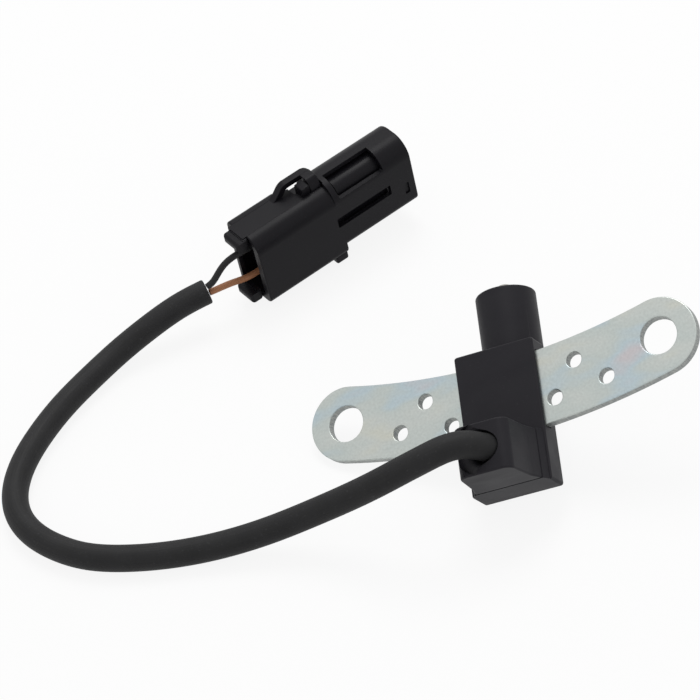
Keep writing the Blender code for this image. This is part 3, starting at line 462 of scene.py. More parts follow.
def swept(form, route, edge=0.0):
    """A closed ring of edges in the x-y plane, carried along a route and closed, with its ends rounded."""
    along = form.verts.layers.float.new("along")
    flat = [vert.co.copy() for vert in form.verts]
    run = 0.0
    stops = []
    for i, place in enumerate(route):
        run += (place - route[max(i - 1, 0)]).length
        aim = route[min(i + 1, len(route) - 1)] - route[max(i - 1, 0)]
        stops.append((run, place, aim.normalized(), 1.0))
    if edge > 0.0:
        stops = rounded_ends(stops, max(co.length for co in flat), edge)
    turn = Vector((0.0, 0.0, 1.0)).rotation_difference(stops[0][2])
    verts, edges = list(form.verts), list(form.edges)
    before = stops[0][2]
    for i, (here, place, aim, scale) in enumerate(stops):
        turn = before.rotation_difference(aim) @ turn
        before = aim
        if i:
            grown = bmesh.ops.extrude_edge_only(form, edges=edges)["geom"]
            verts = [item for item in grown if isinstance(item, bmesh.types.BMVert)]
            edges = [item for item in grown if isinstance(item, bmesh.types.BMEdge)]
        for vert, co in zip(verts, flat):
            vert.co = place + turn @ (co * scale)
            vert[along] = here
    bmesh.ops.holes_fill(form, edges=[e for e in form.edges if e.is_boundary])
    return outward(form)


# Materials


def add_node(tree, kind, inputs=None, **settings):
    """Adds a node with its settings. Each input is set to a value or linked to a socket."""
    node = tree.nodes.new(kind)
    for key, value in settings.items():
        setattr(node, key, value)
    for key, value in (inputs or {}).items():
        if isinstance(value, bpy.types.NodeSocket):
            tree.links.new(value, node.inputs[key])
        else:
            node.inputs[key].default_value = value
    return node


def new_material(name, **values):
    """A material with its shader's plain values set."""
    made = bpy.data.materials.new(name)
    made.use_nodes = True
    tree = made.node_tree
    shader = tree.nodes["Principled BSDF"]
    for key, value in values.items():
        shader.inputs[key.replace("_", " ")].default_value = value
    return made, tree, shader


def axes_of(tree, matrix=None):
    """Object coordinates, or the same in the axes of one of the placing matrices."""
    where = add_node(tree, "ShaderNodeTexCoord").outputs["Object"]
    if matrix is None:
        return where
    turn = {"Vector": where, "Location": matrix.translation, "Rotation": matrix.to_euler()}
    return add_node(tree, "ShaderNodeMapping", turn, vector_type="TEXTURE").outputs["Vector"]


def stretched(tree, where, grain):
    """Coordinates scaled so that a pattern of size 1 has these sizes in millimetres."""
    scale = [1.0 / (size * MM) for size in grain]
    return add_node(tree, "ShaderNodeMapping", {"Vector": where, "Scale": scale}).outputs["Vector"]


def ramp(tree, factor, stops):
    """A colour ramp with stops of (position, hex colour)."""
    node = add_node(tree, "ShaderNodeValToRGB", {"Fac": factor})
    points = node.color_ramp.elements
    while len(points) < len(stops):
        points.new(0.5)
    for point, (position, code) in zip(points, stops):
        point.position = position
        point.color = (*linear(code), 1.0)
    return node.outputs["Color"]


def range_of(tree, value, low, high, new_low, new_high):
    limits = {"Value": value, "From Min": low, "From Max": high, "To Min": new_low, "To Max": new_high}
    return add_node(tree, "ShaderNodeMapRange", limits).outputs["Result"]


def calculated(tree, operation, *values):
    """A Math node's result for values or sockets."""
    node = add_node(tree, "ShaderNodeMath", dict(enumerate(values)), operation=operation)
    return node.outputs[0]


def noise(tree, where, detail=3.0, roughness=0.5):
    settings = {"Vector": where, "Scale": 1.0, "Detail": detail, "Roughness": roughness}
    return add_node(tree, "ShaderNodeTexNoise", settings).outputs["Fac"]


def toned(tree, base, pattern, low, high, shade):
    """A colour or socket that a pattern darkens to a shade where it is low."""
    return mixed(tree, 1.0, base, ramp(tree, pattern, ((low, shade), (high, "#FFFFFF"))), "MULTIPLY")


def mixed(tree, factor, one, two, blend="MIX"):
    node = add_node(tree, "ShaderNodeMix", data_type="RGBA", blend_type=blend)
    for key, value in ((0, factor), (6, one), (7, two)):
        if isinstance(value, bpy.types.NodeSocket):
            tree.links.new(value, node.inputs[key])
        else:
            node.inputs[key].default_value = value
    return node.outputs[2]


def bumped(tree, shader, height, depth):
    """A bump whose full height is a real depth in millimetres."""
    bump = add_node(tree, "ShaderNodeBump", {"Height": height, "Distance": depth * MM, "Strength": 1.0})
    tree.links.new(bump.outputs["Normal"], shader.inputs["Normal"])


def joined_to(tree, shader, **sockets):
    for key, socket in sockets.items():
        tree.links.new(socket, shader.inputs[key.replace("_", " ")])


def zinc_plated_sheet_steel(settings):
    """Cold-rolled sheet, punched and zinc plated: a satin grey with the faint blue, yellow and pink of its
    passivation, and a duller, streaked wall where the punch sheared it."""
    made, tree, shader = new_material("zinc_plated_sheet_steel", Metallic=0.92, Roughness=0.36)
    where = axes_of(tree, SENSOR)
    cloud = noise(tree, stretched(tree, where, (26.0, 11.0, 26.0)), 2.0)
    tint = ramp(tree, cloud, ((0.30, "#CECDC0"), (0.42, "#C8CCC8"), (0.53, "#C1C8C5"), (0.62, "#B8C8D0"),
                              (0.74, "#C8C1C5")))
    plating = mixed(tree, 0.75, (*settings.plating, 1.0), tint)
    # Rolling lines are a few hundredths of a millimetre apart, drawn coarser so that they show.
    rolling = noise(tree, stretched(tree, where, (9.0, 0.16, 0.16)), 3.0)
    mottle = noise(tree, stretched(tree, where, (0.7, 0.7, 0.7)), 3.0)
    face = toned(tree, plating, mottle, 0.3, 0.7, "#F1F1F1")
    level = add_node(tree, "ShaderNodeSeparateXYZ", {"Vector": where}).outputs["Z"]
    back, (start, full) = -settings.thickness, SHEARED_BAND
    wall_low = range_of(tree, level, back + start, back + full, 0.0, 1.0)
    wall_high = range_of(tree, level, -full, -start, 1.0, 0.0)
    wall = calculated(tree, "MULTIPLY", wall_low, wall_high)
    streak = noise(tree, stretched(tree, where, (0.25, 0.25, 2.0)), 2.0)
    sheared = ramp(tree, streak, ((0.35, "#85898A"), (0.65, "#A9ACA8")))
    joined_to(tree, shader, Base_Color=mixed(tree, wall, face, sheared))
    satin = range_of(tree, rolling, 0.3, 0.7, 0.32, 0.42)
    joined_to(tree, shader, Roughness=calculated(tree, "MULTIPLY_ADD", wall, 0.18, satin))
    bumped(tree, shader, mixed(tree, wall, rolling, streak), 0.012)
    return made


def moulded_nylon(name, plastic, matrix, gloss, level):
    """Glass-filled nylon from a mould: near black, satin, with a fine eroded grain, faint flow marks and a
    few pale rubbed specks."""
    made, tree, shader = new_material(name, IOR=1.53, Roughness=gloss, Specular_IOR_Level=level)
    where = axes_of(tree, matrix)
    flow = noise(tree, stretched(tree, where, (16.0, 7.0, 7.0)), 3.0, 0.6)
    base = toned(tree, (*plastic, 1.0), flow, 0.3, 0.7, "#E4E2E8")
    # Single glass fibres are 0.01 mm thick and don't show, so these are the bundles that surface together.
    fibre = noise(tree, stretched(tree, where, (0.9, 0.14, 0.14)), 2.0)
    rubbed = range_of(tree, fibre, 0.70, 0.78, 0.0, 0.22)
    joined_to(tree, shader, Base_Color=mixed(tree, rubbed, base, (*linear("#6A686C"), 1.0)))
    joined_to(tree, shader, Roughness=range_of(tree, flow, 0.3, 0.7, gloss - 0.05, gloss + 0.06))
    # The mould's eroded grain is about 0.1 mm, drawn at twice that so that it shows.
    grain = noise(tree, stretched(tree, where, (0.22, 0.22, 0.22)), 2.0)
    bumped(tree, shader, grain, 0.012)
    return made


def extruded_rubber(name, plastic, gloss, lines):
    """A sheath drawn through a die: dull, with fine lines along it and a trace of talc."""
    made, tree, shader = new_material(name, IOR=1.5, Roughness=gloss, Specular_IOR_Level=0.25)
    where = axes_of(tree)
    along = add_node(tree, "ShaderNodeAttribute", attribute_name="along").outputs["Fac"]
    around = add_node(tree, "ShaderNodeAttribute", attribute_name="around").outputs["Fac"]
    drawn = add_node(tree, "ShaderNodeCombineXYZ", {"X": along, "Y": around}).outputs["Vector"]
    line = noise(tree, stretched(tree, drawn, (14.0, lines, 1.0)), 2.0)
    cloud = noise(tree, stretched(tree, where, (7.0, 7.0, 7.0)), 4.0, 0.6)
    base = toned(tree, (*plastic, 1.0), cloud, 0.32, 0.68, "#DADADA")
    talc = noise(tree, stretched(tree, where, (0.8, 0.8, 0.8)), 3.0)
    dusted = range_of(tree, talc, 0.62, 0.80, 0.0, 0.10)
    joined_to(tree, shader, Base_Color=mixed(tree, dusted, base, (*linear("#77787A"), 1.0)))
    joined_to(tree, shader, Roughness=range_of(tree, line, 0.3, 0.7, gloss - 0.05, gloss + 0.05))
    bumped(tree, shader, line, 0.03)
    return made


def metal(name, code, gloss, grain, depth, matrix, metallic=1.0):
    """A bare or plated metal with the lines of its turning, drawing or winding."""
    made, tree, shader = new_material(name, Metallic=metallic, Roughness=gloss)
    where = axes_of(tree, matrix)
    line = noise(tree, stretched(tree, where, grain), 2.0)
    joined_to(tree, shader, Base_Color=toned(tree, (*linear(code), 1.0), line, 0.35, 0.65, "#DCDCDC"))
    joined_to(tree, shader, Roughness=range_of(tree, line, 0.3, 0.7, gloss - 0.06, gloss + 0.08))
    bumped(tree, shader, line, depth)
    return made


def polymer(name, code, gloss, grain, depth, matrix):
    """A plain moulded or cast polymer with a soft cloudy tone."""
    made, tree, shader = new_material(name, IOR=1.5, Roughness=gloss, Specular_IOR_Level=0.35)
    where = axes_of(tree, matrix)
    cloud = noise(tree, stretched(tree, where, (grain * 8.0, grain * 8.0, grain * 8.0)), 3.0)
    joined_to(tree, shader, Base_Color=toned(tree, (*linear(code), 1.0), cloud, 0.3, 0.7, "#DEDEDE"))
    joined_to(tree, shader, Roughness=range_of(tree, cloud, 0.3, 0.7, gloss - 0.04, gloss + 0.05))
    bumped(tree, shader, noise(tree, stretched(tree, where, (grain, grain, grain)), 2.0), depth)
    return made


# Pieces


def finish(form, name, matrix, material, replaced, sharp=32.0):
    """Places a form by its matrix, shades it, and makes it a piece that stands for a solid."""
    bmesh.ops.transform(form, matrix=matrix, verts=form.verts)
    mesh = bpy.data.meshes.new(name)
    form.to_mesh(mesh)
    form.free()
    mesh.shade_smooth()
    mesh.set_sharp_from_angle(angle=math.radians(sharp))
    mesh.materials.append(material)
    obj = linked(bpy.data.objects.new(name, mesh))
    weighted = obj.modifiers.new("even_shading", "WEIGHTED_NORMAL")
    weighted.keep_sharp = True
    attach(obj, ROOT)
    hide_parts(replaced)
    return obj


def creases_at(form, axis, level, angle=20.0):
    """The edges in one plane where two faces meet at more than an angle."""
    return [e for e in rims_at(form, axis, level)
            if len(e.link_faces) == 2 and e.calc_face_angle() > math.radians(angle)]


def swung(form, start, centre, angle, steps):
    """Spins one point about a centre and leaves the chain of edges."""
    point = form.verts.new(start)
    bmesh.ops.spin(form, geom=[point], cent=centre, axis=(0.0, 0.0, 1.0), angle=angle, steps=steps,
                   use_duplicate=False)


def strip_arc(s, half_chord):
    """The centre of the strip's arc, the angle from its middle to one end, and the directions of both
    ends."""
    centre = Vector((0.0, math.sqrt(s.arc_radius**2 - (s.bolt_pitch / 2) ** 2), 0.0))
    reach = math.asin(half_chord / s.arc_radius)
    return centre, reach, [Vector((side * math.sin(reach), -math.cos(reach), 0.0)) for side in (-1, 1)]


def bracket_form(s):
    """The strip's outline in four arcs, extruded to its thickness, punched, and eased on both faces."""
    half, pitch, radius = s.width / 2, s.bolt_pitch / 2, s.arc_radius
    centre, reach, down = strip_arc(s, pitch)
    form = bmesh.new()
    swung(form, centre + down[0] * (radius + half), centre, 2.0 * reach, 60)
    swung(form, centre + down[1] * (radius + half), (pitch, 0.0, 0.0), math.pi, 40)
    swung(form, centre + down[1] * (radius - half), centre, -2.0 * reach, 60)
    swung(form, centre + down[0] * (radius - half), (-pitch, 0.0, 0.0), math.pi, 40)
    bmesh.ops.remove_doubles(form, verts=form.verts, dist=0.01 * MM)
    bmesh.ops.contextual_create(form, geom=form.edges)
    extruded(form, -s.thickness)
    punches = []
    for side in (-1, 1):
        holes = [(side * pitch, 0.0, s.bolt_hole, 56)]
        holes += [(side * x, y, s.tooling_hole, 36) for x, y in TOOLING_HOLES]
        for x, y, diameter, segments in holes:
            punch = rod(diameter / 2, -2.0 * s.thickness, s.thickness, segments=segments)
            bmesh.ops.translate(punch, vec=(x, y, 0.0), verts=punch.verts)
            punches.append(punch)
    form = combined(outward(form), "DIFFERENCE", punches)
    for level in (0.0, -s.thickness):
        ease(form, creases_at(form, 2, level), s.edge, 3, clamp=False)
    return form


def housing_form(s):
    """Slab round the bracket, neck and barrel behind it, and the base that carries the cover."""
    half = s.slab_width / 2
    slab = block((-half, SLAB_BOTTOM, SLAB_BACK), (half, SLAB_TOP, SLAB_FRONT), SLAB_CORNER, 2)
    ease(slab, rims_at(slab, 2, SLAB_FRONT) + rims_at(slab, 2, SLAB_BACK), s.edge, 3)
    side, shoulder, foot = BASE_WIDTH / 2, BASE_SHOULDER_WIDTH / 2, SLAB_BACK + POCKET_FLOOR
    outline = [(-shoulder, foot), (shoulder, foot), (shoulder, BASE_SHOULDER), (side, BASE_FRONT),
               (-side, BASE_FRONT), (-shoulder, BASE_SHOULDER)]
    base = laid(prism(outline, SLAB_BOTTOM, BASE_TOP), ALONG_Y)
    ease(base, rims_at(base, 1, BASE_TOP), BASE_EDGE, 2)
    neck = block((-NECK_WIDTH / 2, BARREL_END + BARREL_EDGE, BARREL_AXIS),
                 (NECK_WIDTH / 2, SLAB_TOP - SLAB_CORNER, foot))
    barrel = laid(rod(s.barrel_diameter / 2, BARREL_END, s.barrel_tip, BARREL_EDGE, 96), ALONG_Y,
                  (0.0, 0.0, BARREL_AXIS))
    form = combined(slab, "UNION", [base, neck, barrel])
    step, beyond = BORE_FRONT + GAP, s.barrel_tip + PAST
    bore = turned([(0.0, beyond), (POLE_BORE, beyond), (POLE_BORE, step), (BORE_RADIUS, step),
                   (BORE_RADIUS, BORE_END), (0.0, BORE_END)])
    tools = [laid(bore, ALONG_Y, (0.0, 0.0, BARREL_AXIS)), bracket_slot(), pocket(foot, BASE_FRONT + PAST)]
    return combined(form, "DIFFERENCE", tools)


def bracket_slot():
    """The way the bracket takes through the slab, with clearance all round."""
    s = bpy.context.scene.sensor_bracket
    half, radius = s.width / 2 + GAP, s.arc_radius
    centre, reach, down = strip_arc(s, 2.0 * SLOT_REACH)
    form = bmesh.new()
    swung(form, centre + down[0] * (radius + half), centre, 2.0 * reach, 24)
    swung(form, centre + down[1] * (radius - half), centre, -2.0 * reach, 24)
    form.verts.ensure_lookup_table()
    ends = sorted((v for v in form.verts if len(v.link_edges) == 1), key=lambda v: v.co.x)
    form.edges.new(ends[:2])
    form.edges.new(ends[2:])
    bmesh.ops.contextual_create(form, geom=form.edges)
    extruded(form, -s.thickness - 2.0 * GAP)
    bmesh.ops.translate(form, vec=(0.0, 0.0, GAP), verts=form.verts)
    return outward(form)


def pocket(low, high):
    """The hollow that the base and the cover share, between two heights."""
    return block((-POCKET_WIDTH / 2, SLAB_BOTTOM + POCKET_WALL, low),
                 (POCKET_WIDTH / 2, BASE_TOP - POCKET_WALL, high))


def exit_frame():
    """Where the cable leaves the cover: z runs out along it."""
    return Matrix.Translation((0.0, EXIT_HEIGHT, COVER_FRONT)) @ Matrix.Rotation(-EXIT_LEAN, 4, "Y")


def cover_form(cable):
    """The cover's outline with round front corners, its hollow, and the pocket round the cable."""
    outline = [(-COVER_FOOT, COVER_BACK), (COVER_FOOT, COVER_BACK),
               (COVER_WAIST_SIDE, COVER_WAIST, COVER_WAIST_ROUND), (COVER_SIDE, COVER_FRONT, COVER_ROUND),
               (-COVER_SIDE, COVER_FRONT, COVER_ROUND), (-COVER_WAIST_SIDE, COVER_WAIST, COVER_WAIST_ROUND)]
    form = laid(prism(outline, SLAB_BOTTOM, BASE_TOP, 10), ALONG_Y)
    ease(form, rims_at(form, 1, SLAB_BOTTOM) + rims_at(form, 1, BASE_TOP), COVER_EDGE, 4)
    bore = rod(cable.jacket_diameter / 2 + GAP, -JACKET_INSERT - MM, EXIT_POCKET)
    radius = EXIT_POCKET / 2
    profile = [(0.0, -EXIT_POCKET_DEPTH), (radius - EXIT_CHAMFER, -EXIT_POCKET_DEPTH),
               (radius, EXIT_CHAMFER - EXIT_POCKET_DEPTH)]
    profile += [(radius + out, level) for out, level in EXIT_FLARE]
    profile += [(profile[-1][0], EXIT_POCKET), (0.0, EXIT_POCKET)]
    tools = [pocket(BASE_FRONT - PAST, COVER_FRONT - COVER_ROOF), laid(bore, exit_frame()),
             laid(turned(profile), exit_frame())]
    return combined(form, "DIFFERENCE", tools)


def pole_form(s):
    """A turned pin with a chamfered, faced tip."""
    radius, tip = s.pole_diameter / 2, s.barrel_tip + POLE_PROUD
    profile = [(0.0, tip), (radius - POLE_CHAMFER, tip), (radius, tip - POLE_CHAMFER),
               (radius, FLANGE_REAR), (0.0, FLANGE_REAR)]
    return laid(turned(profile, 48), ALONG_Y, (0.0, 0.0, BARREL_AXIS))


def shroud_corners(s, inset):
    """The shroud's outline, or one that lies inside it by an inset."""
    side, low, high = s.thickness / 2 - inset, SHROUD_LOW + inset, SHROUD_HIGH - inset
    under, over = max(s.shroud_low - inset, LEAST_CORNER), max(s.shroud_high - inset, LEAST_CORNER)
    return [(-side, low, under), (side, low, under), (side, high, over), (-side, high, over)]


def connector_form(s):
    """Rear block and rounded shroud, with the bores, grooves, window, slot and snap teeth."""
    side, top = s.thickness / 2, s.width / 2
    outline = [(-side, -top, s.corner), (side, -top, s.corner), (side, top, s.corner),
               (-side, top, NEAR_ROUND)]
    rear = laid(prism(outline, 0.0, REAR_LENGTH, 12), ALONG_X)
    ease(rear, rims_at(rear, 0, 0.0) + rims_at(rear, 0, REAR_LENGTH), REAR_EDGE, 3)
    shroud = laid(prism(shroud_corners(s, 0.0), REAR_LENGTH - MM, s.body_length, 16), ALONG_X)
    ease(shroud, rims_at(shroud, 0, s.body_length), SHROUD_EDGE, 4)
    form = combined(combined(rear, "UNION", [shroud]), "DIFFERENCE", bore_tools(s) + side_tools(s))
    nub = block((NUB_START, NUB_DEPTH[0] - side, -top - NUB_RISE), (NUB_END, NUB_DEPTH[1] - side, MM - top),
                NUB_EDGE)
    return combined(form, "UNION", [nub, *(tooth_form(s, face) for face in (-1, 1))])


def bore_tools(s):
    """Cutters for the shroud's hollow, the rear recess and the stepped bore of each contact."""
    beyond = 2.0 * s.thickness
    hollow = laid(prism(shroud_corners(s, s.wall), SHROUD_FLOOR, s.body_length + beyond, 14), ALONG_X)
    recess = rectangle(RECESS_WIDTH / 2, -RECESS_HEIGHT / 2, RECESS_HEIGHT / 2, RECESS_ROUND)
    tools = [hollow, laid(prism(recess, -beyond, RECESS_DEPTH), ALONG_X)]
    for level in (-s.pitch / 2, s.pitch / 2):
        cavity = turned([(0.0, SHROUD_FLOOR + s.wall), (CONTACT_BORE / 2, SHROUD_FLOOR + s.wall),
                         (CONTACT_BORE / 2, SEAL_BORE_DEPTH), (SEAL_BORE / 2, SEAL_BORE_DEPTH),
                         (SEAL_BORE / 2, RECESS_DEPTH / 2), (0.0, RECESS_DEPTH / 2)])
        tools.append(laid(cavity, ALONG_X, (0.0, 0.0, level)))
    return tools


def side_tools(s):
    """Cutters for the arms' grooves, the loops' seats and notches, the window, the slot, the rim's step and
    its pit."""
    side, beyond = s.thickness / 2, 2.0 * s.thickness
    floor = s.width / 2 - ARM_THICKNESS - GAP
    tools = []
    for face in (-1, 1):
        low, high = sorted((face * floor, face * s.width))
        tools.append(block((-REAR_LENGTH, -ARM_NEAR - SEAM, low),
                           (LOOP_END + 2.0 * GAP, ARM_WIDTH / 2 + SEAM, high)))
        tools.append(block((LOOP_START, 0.0, low), (LOOP_END + 2.0 * GAP, s.thickness, high)))
        low, high = sorted((face * NOTCH_LEVEL, face * s.width))
        tools.append(block((NOTCH_START, NOTCH_SIDE, low), (NOTCH_END, s.thickness, high)))
    tools.append(block((WINDOW_START, -beyond, WINDOW_SIDE), (WINDOW_END, WINDOW_TOP, beyond),
                       WINDOW_ROUND, 1))
    tools.append(block((SLOT_START, -beyond, SLOT_LOW),
                       (SLOT_END, -side + 1.5 * s.wall, SLOT_LOW + SLOT_HEIGHT), SLOT_ROUND, 1))
    tools.append(block((RIM_STEP, -beyond, -beyond),
                       (2.0 * s.body_length, beyond, SHROUD_LOW + RIM_STEP_RISE)))
    tools.append(block((PIT_START, -beyond, PIT_LOW),
                       (PIT_START + PIT_LENGTH, -side + PIT_DEPTH, PIT_LOW + PIT_HEIGHT), PIT_ROUND, 1))
    return tools


def tooth_form(s, face):
    """A block with a leaning top that the ring of the lock snaps over."""
    floor = s.width / 2 - ARM_THICKNESS - GAP
    end, crest = RING_WINDOW_END - GAP, s.width / 2 + LOOP_RISE - ARM_THICKNESS / 2
    start, root = end - TOOTH_LENGTH, floor - MM / 2
    outline = [(start, root), (end, root), (end, crest), (start, crest - TOOTH_LEAN)]
    form = laid(prism(outline, -TOOTH_WIDTH / 2, TOOTH_WIDTH / 2), ALONG_Y)
    ease(form, [e for e in form.edges if min(v.co.z for v in e.verts) > floor], TOOTH_EDGE, 2)
    return mirrored(form, face)


def mirrored(form, face):
    """The form as it is on the upper narrow side, or turned over for the lower one."""
    return form if face > 0 else laid(form, Matrix.Scale(-1.0, 4, (0.0, 0.0, 1.0)))


def core_form(s):
    """The tower inside the shroud, with a chamfered mouth to each pin bore."""
    corners = [(u, v, max(radius, TOWER_CORNER))
               for u, v, radius in shroud_corners(s, s.wall + TOWER_CLEARANCE)]
    start = SHROUD_FLOOR + GAP
    end = start + TOWER_LENGTH
    form = laid(prism(corners, start, end, 10), ALONG_X)
    ease(form, rims_at(form, 0, end), TOWER_EDGE, 3)
    radius = PIN_BORE / 2
    tools = []
    for level in (-s.pitch / 2, s.pitch / 2):
        bore = turned([(0.0, end + MM), (radius + MM + PIN_LEAD, end + MM), (radius + PIN_LEAD, end),
                       (radius, end - PIN_LEAD), (radius, 0.0), (0.0, 0.0)], 40)
        tools.append(laid(bore, ALONG_X, (0.0, 0.0, level)))
    return combined(form, "DIFFERENCE", tools)


def arm_form(s, face):
    """One arm of the lock: a flat plate, a riser on its far side, and a round-cornered loop whose bar comes
    down on the near side."""
    outer = s.width / 2
    inner, step, lead = outer - ARM_THICKNESS, LOOP_RISE, RISER_LEAD * LOOP_RISE
    # The riser stays within the plate's two faces, and the bar within the riser's top.
    foot, top, start = inner + SLIP, outer - SLIP, RING_START - step - 2.0 * lead
    outline = [(start, foot), (RING_START - step, foot, RISER_ROUND),
               (RING_START, inner + step, UNDER_ROUND), (RING_END, inner + step, UNDER_END_ROUND),
               (RING_END, outer + step, CREST_ROUND), (RING_START - lead, outer + step, RISER_ROUND),
               (RING_START - lead - step, top, RISER_FOOT_ROUND), (start, top)]
    raised = laid(prism(outline, RING_INSIDE, RING_FAR, 6), ALONG_Y)
    under, over = inner + step + SLIP, outer + step - SLIP
    root, reach = outer - MM / 2, RING_INSIDE + MM / 2
    outline = [(RING_NEAR, root), (RING_FOOT, root), (RING_FOOT, outer + MM / 2, BAR_FOOT_ROUND),
               (RING_NEAR - BAR_LEAN, over, BAR_TOP_ROUND), (reach, over), (reach, under),
               (RING_NEAR, under)]
    bar = laid(prism(outline, RING_WINDOW_END, RING_END - SLIP, 4), ALONG_X)
    ease(bar, rims_at(bar, 0, RING_END - SLIP), BAR_EDGE, 3)
    end, far, near = RING_END - GAP, ARM_WIDTH / 2, RING_NEAR - SLIP
    plate = prism([(-LOCK_FRAME, -ARM_NEAR), (end, -ARM_NEAR), (end, near), (RING_WINDOW_START, near),
                   (RING_WINDOW_START, far), (-LOCK_FRAME, far)], inner, outer)
    ease(plate, rims_at(plate, 2, outer), ARM_EDGE, 2)
    rear, end, far, near = -2.0 * LOCK_FRAME, RING_END + SLIP, RING_FAR + SLIP, -ARM_NEAR - MM
    plan = prism([(rear, near), (end, near), (end, far, RING_CORNER), (rear, far)], 0.0, s.width, 10)
    form = combined(combined(raised, "UNION", [bar, plate]), "INTERSECT", [plan])
    return mirrored(form, face)


def lock_form(s):
    """A frame beside the wires, open on its near side, with an arm, a loop and a tab at each end."""
    half, top = FRAME_WIDTH / 2, s.width / 2 - GAP
    form = laid(prism(rectangle(half, -top, top, FRAME_ROUND), -LOCK_FRAME - GAP, -GAP), ALONG_X)
    reach = s.pitch / 2 + FRAME_WINDOW_REACH
    window = block((-5.0 * LOCK_FRAME, -2.0 * half, -reach), (LOCK_FRAME, half - FRAME_WINDOW_WALL, reach),
                   FRAME_WINDOW_ROUND, 0)
    form = combined(form, "DIFFERENCE", [window])
    added = []
    for face in (-1, 1):
        added.append(arm_form(s, face))
        tab = block((-LOCK_FRAME - TAB_LENGTH, -TAB_WIDTH / 2, top - TAB_HEIGHT),
                    (-LOCK_FRAME / 2, TAB_WIDTH / 2, top - TAB_INSET))
        ease(tab, [e for e in tab.edges if max(v.co.x for v in e.verts) < -LOCK_FRAME], TAB_ROUND, 5)
        added.append(mirrored(tab, face))
    return combined(form, "UNION", added)


def seal_form(s, cable, level):
    """A ribbed silicone sleeve round a wire."""
    outer = SEAL_BORE / 2 - GAP
    root, shoulder, inner = outer - SEAL_RIB, outer - 0.2 * MM, cable.wire_diameter / 2 + GAP
    pitch = SEAL_LENGTH / s.seal_ribs
    profile = []
    for i in range(s.seal_ribs):
        top = SEAL_START + SEAL_LENGTH - i * pitch
        profile += [(root, top), (shoulder, top - 0.2 * pitch), (outer, top - 0.35 * pitch),
                    (shoulder, top - 0.5 * pitch), (root, top - 0.7 * pitch)]
    profile += [(root, SEAL_START), (inner, SEAL_START), (inner, SEAL_START + SEAL_LENGTH)]
    return laid(turned(profile, 48, closed=True), ALONG_X, (0.0, 0.0, level))


def cord_form(points, diameter, spacing, segments, edge=0.0):
    """A round cord on a smooth route, with the distance along it and round it kept at each point."""
    ring = bmesh.new()
    bmesh.ops.create_circle(ring, cap_ends=False, segments=segments, radius=diameter / 2)
    around = ring.verts.layers.float.new("around")
    for vert in ring.verts:
        vert[around] = abs(math.atan2(vert.co.y, vert.co.x)) * diameter / 2
    route = smooth_route(points, spacing)
    return swept(ring, route, edge), route


def add_camera(lens):
    camera = linked(bpy.data.objects.new("camera", bpy.data.cameras.new("camera")))
    camera.data.lens = lens
    camera.data.sensor_width = FILM_WIDTH
    camera.data.clip_start = CLIP_START
    camera.data.clip_end = CLIP_END
    right, up, look = (Vector(v).normalized() for v in CAMERA_AXES)
    turn = Matrix((right, up, -look)).transposed().to_4x4()
    camera.matrix_world = Matrix.Translation(CAMERA_PLACE) @ turn
    bpy.context.scene.camera = camera


def add_floor(s):
    form = bmesh.new()
    bmesh.ops.create_grid(form, x_segments=1, y_segments=1, size=FLOOR_HALF)
    floor = loose("floor", form)
    floor.data.materials.append(floor_finish(s))


def add_lamp(name, place, size, power):
    """A round lamp, turned towards the object."""
    lamp = linked(bpy.data.objects.new(name, bpy.data.lights.new(name, "AREA")))
    lamp.data.shape = "DISK"
    lamp.data.size = size
    lamp.data.energy = power
    lamp.location = place
    lamp.rotation_euler = (Vector(LAMP_AIM) - lamp.location).to_track_quat("-Z", "Y").to_euler()


class SENSOR_OT_stage(bpy.types.Operator):
    """Add the camera, the floor and the soft light"""

    bl_idname = "sensor.stage"
    bl_label = "Stage"

    def execute(self, context):
        s = context.scene.sensor_stage
        add_camera(s.lens)
        add_floor(s)
        for lamp in LAMPS:
            add_lamp(*lamp)
        context.scene.world = white_world(s)
        context.scene.view_settings.view_transform = "Standard"
        return {"FINISHED"}


def floor_finish(s):
    """Matt white card. The camera and reflections see it lighter than it is, so that it meets the
    background."""
    made, tree, shader = new_material("matt_white_card", Roughness=0.9, Specular_IOR_Level=0.1)
    fibre = noise(tree, stretched(tree, axes_of(tree), (6.0, 6.0, 6.0)), 3.0)
    joined_to(tree, shader, Base_Color=toned(tree, (*s.floor, 1.0), fibre, 0.3, 0.7, "#FEFEFE"))
    lift = add_node(tree, "ShaderNodeEmission", {"Color": WHITE, "Strength": 1.0})
    share = range_of(tree, seen_directly(tree), 0.0, 1.0, 0.0, s.floor_lift)
    blend = add_node(tree, "ShaderNodeMixShader", {0: share, 1: shader.outputs[0], 2: lift.outputs[0]})
    tree.links.new(blend.outputs[0], tree.nodes["Material Output"].inputs["Surface"])
    return made


def seen_directly(tree):
    """One for rays from the camera, from a reflection or through glass, and nought for light on the
    object."""
    path = add_node(tree, "ShaderNodeLightPath").outputs
    seen = calculated(tree, "MAXIMUM", path["Is Camera Ray"], path["Is Glossy Ray"])
    return calculated(tree, "MAXIMUM", seen, path["Is Transmission Ray"])


def white_world(s):
    """An even sky, seen as white by the camera and in reflections."""
    world = bpy.data.worlds.new("white_surround")
    world.use_nodes = True
    tree = world.node_tree
    tree.nodes.clear()
    strength = range_of(tree, seen_directly(tree), 0.0, 1.0, s.sky, 1.0)
    sky = add_node(tree, "ShaderNodeBackground", {"Color": WHITE, "Strength": strength})
    out = add_node(tree, "ShaderNodeOutputWorld")
    tree.links.new(sky.outputs[0], out.inputs["Surface"])
    return world


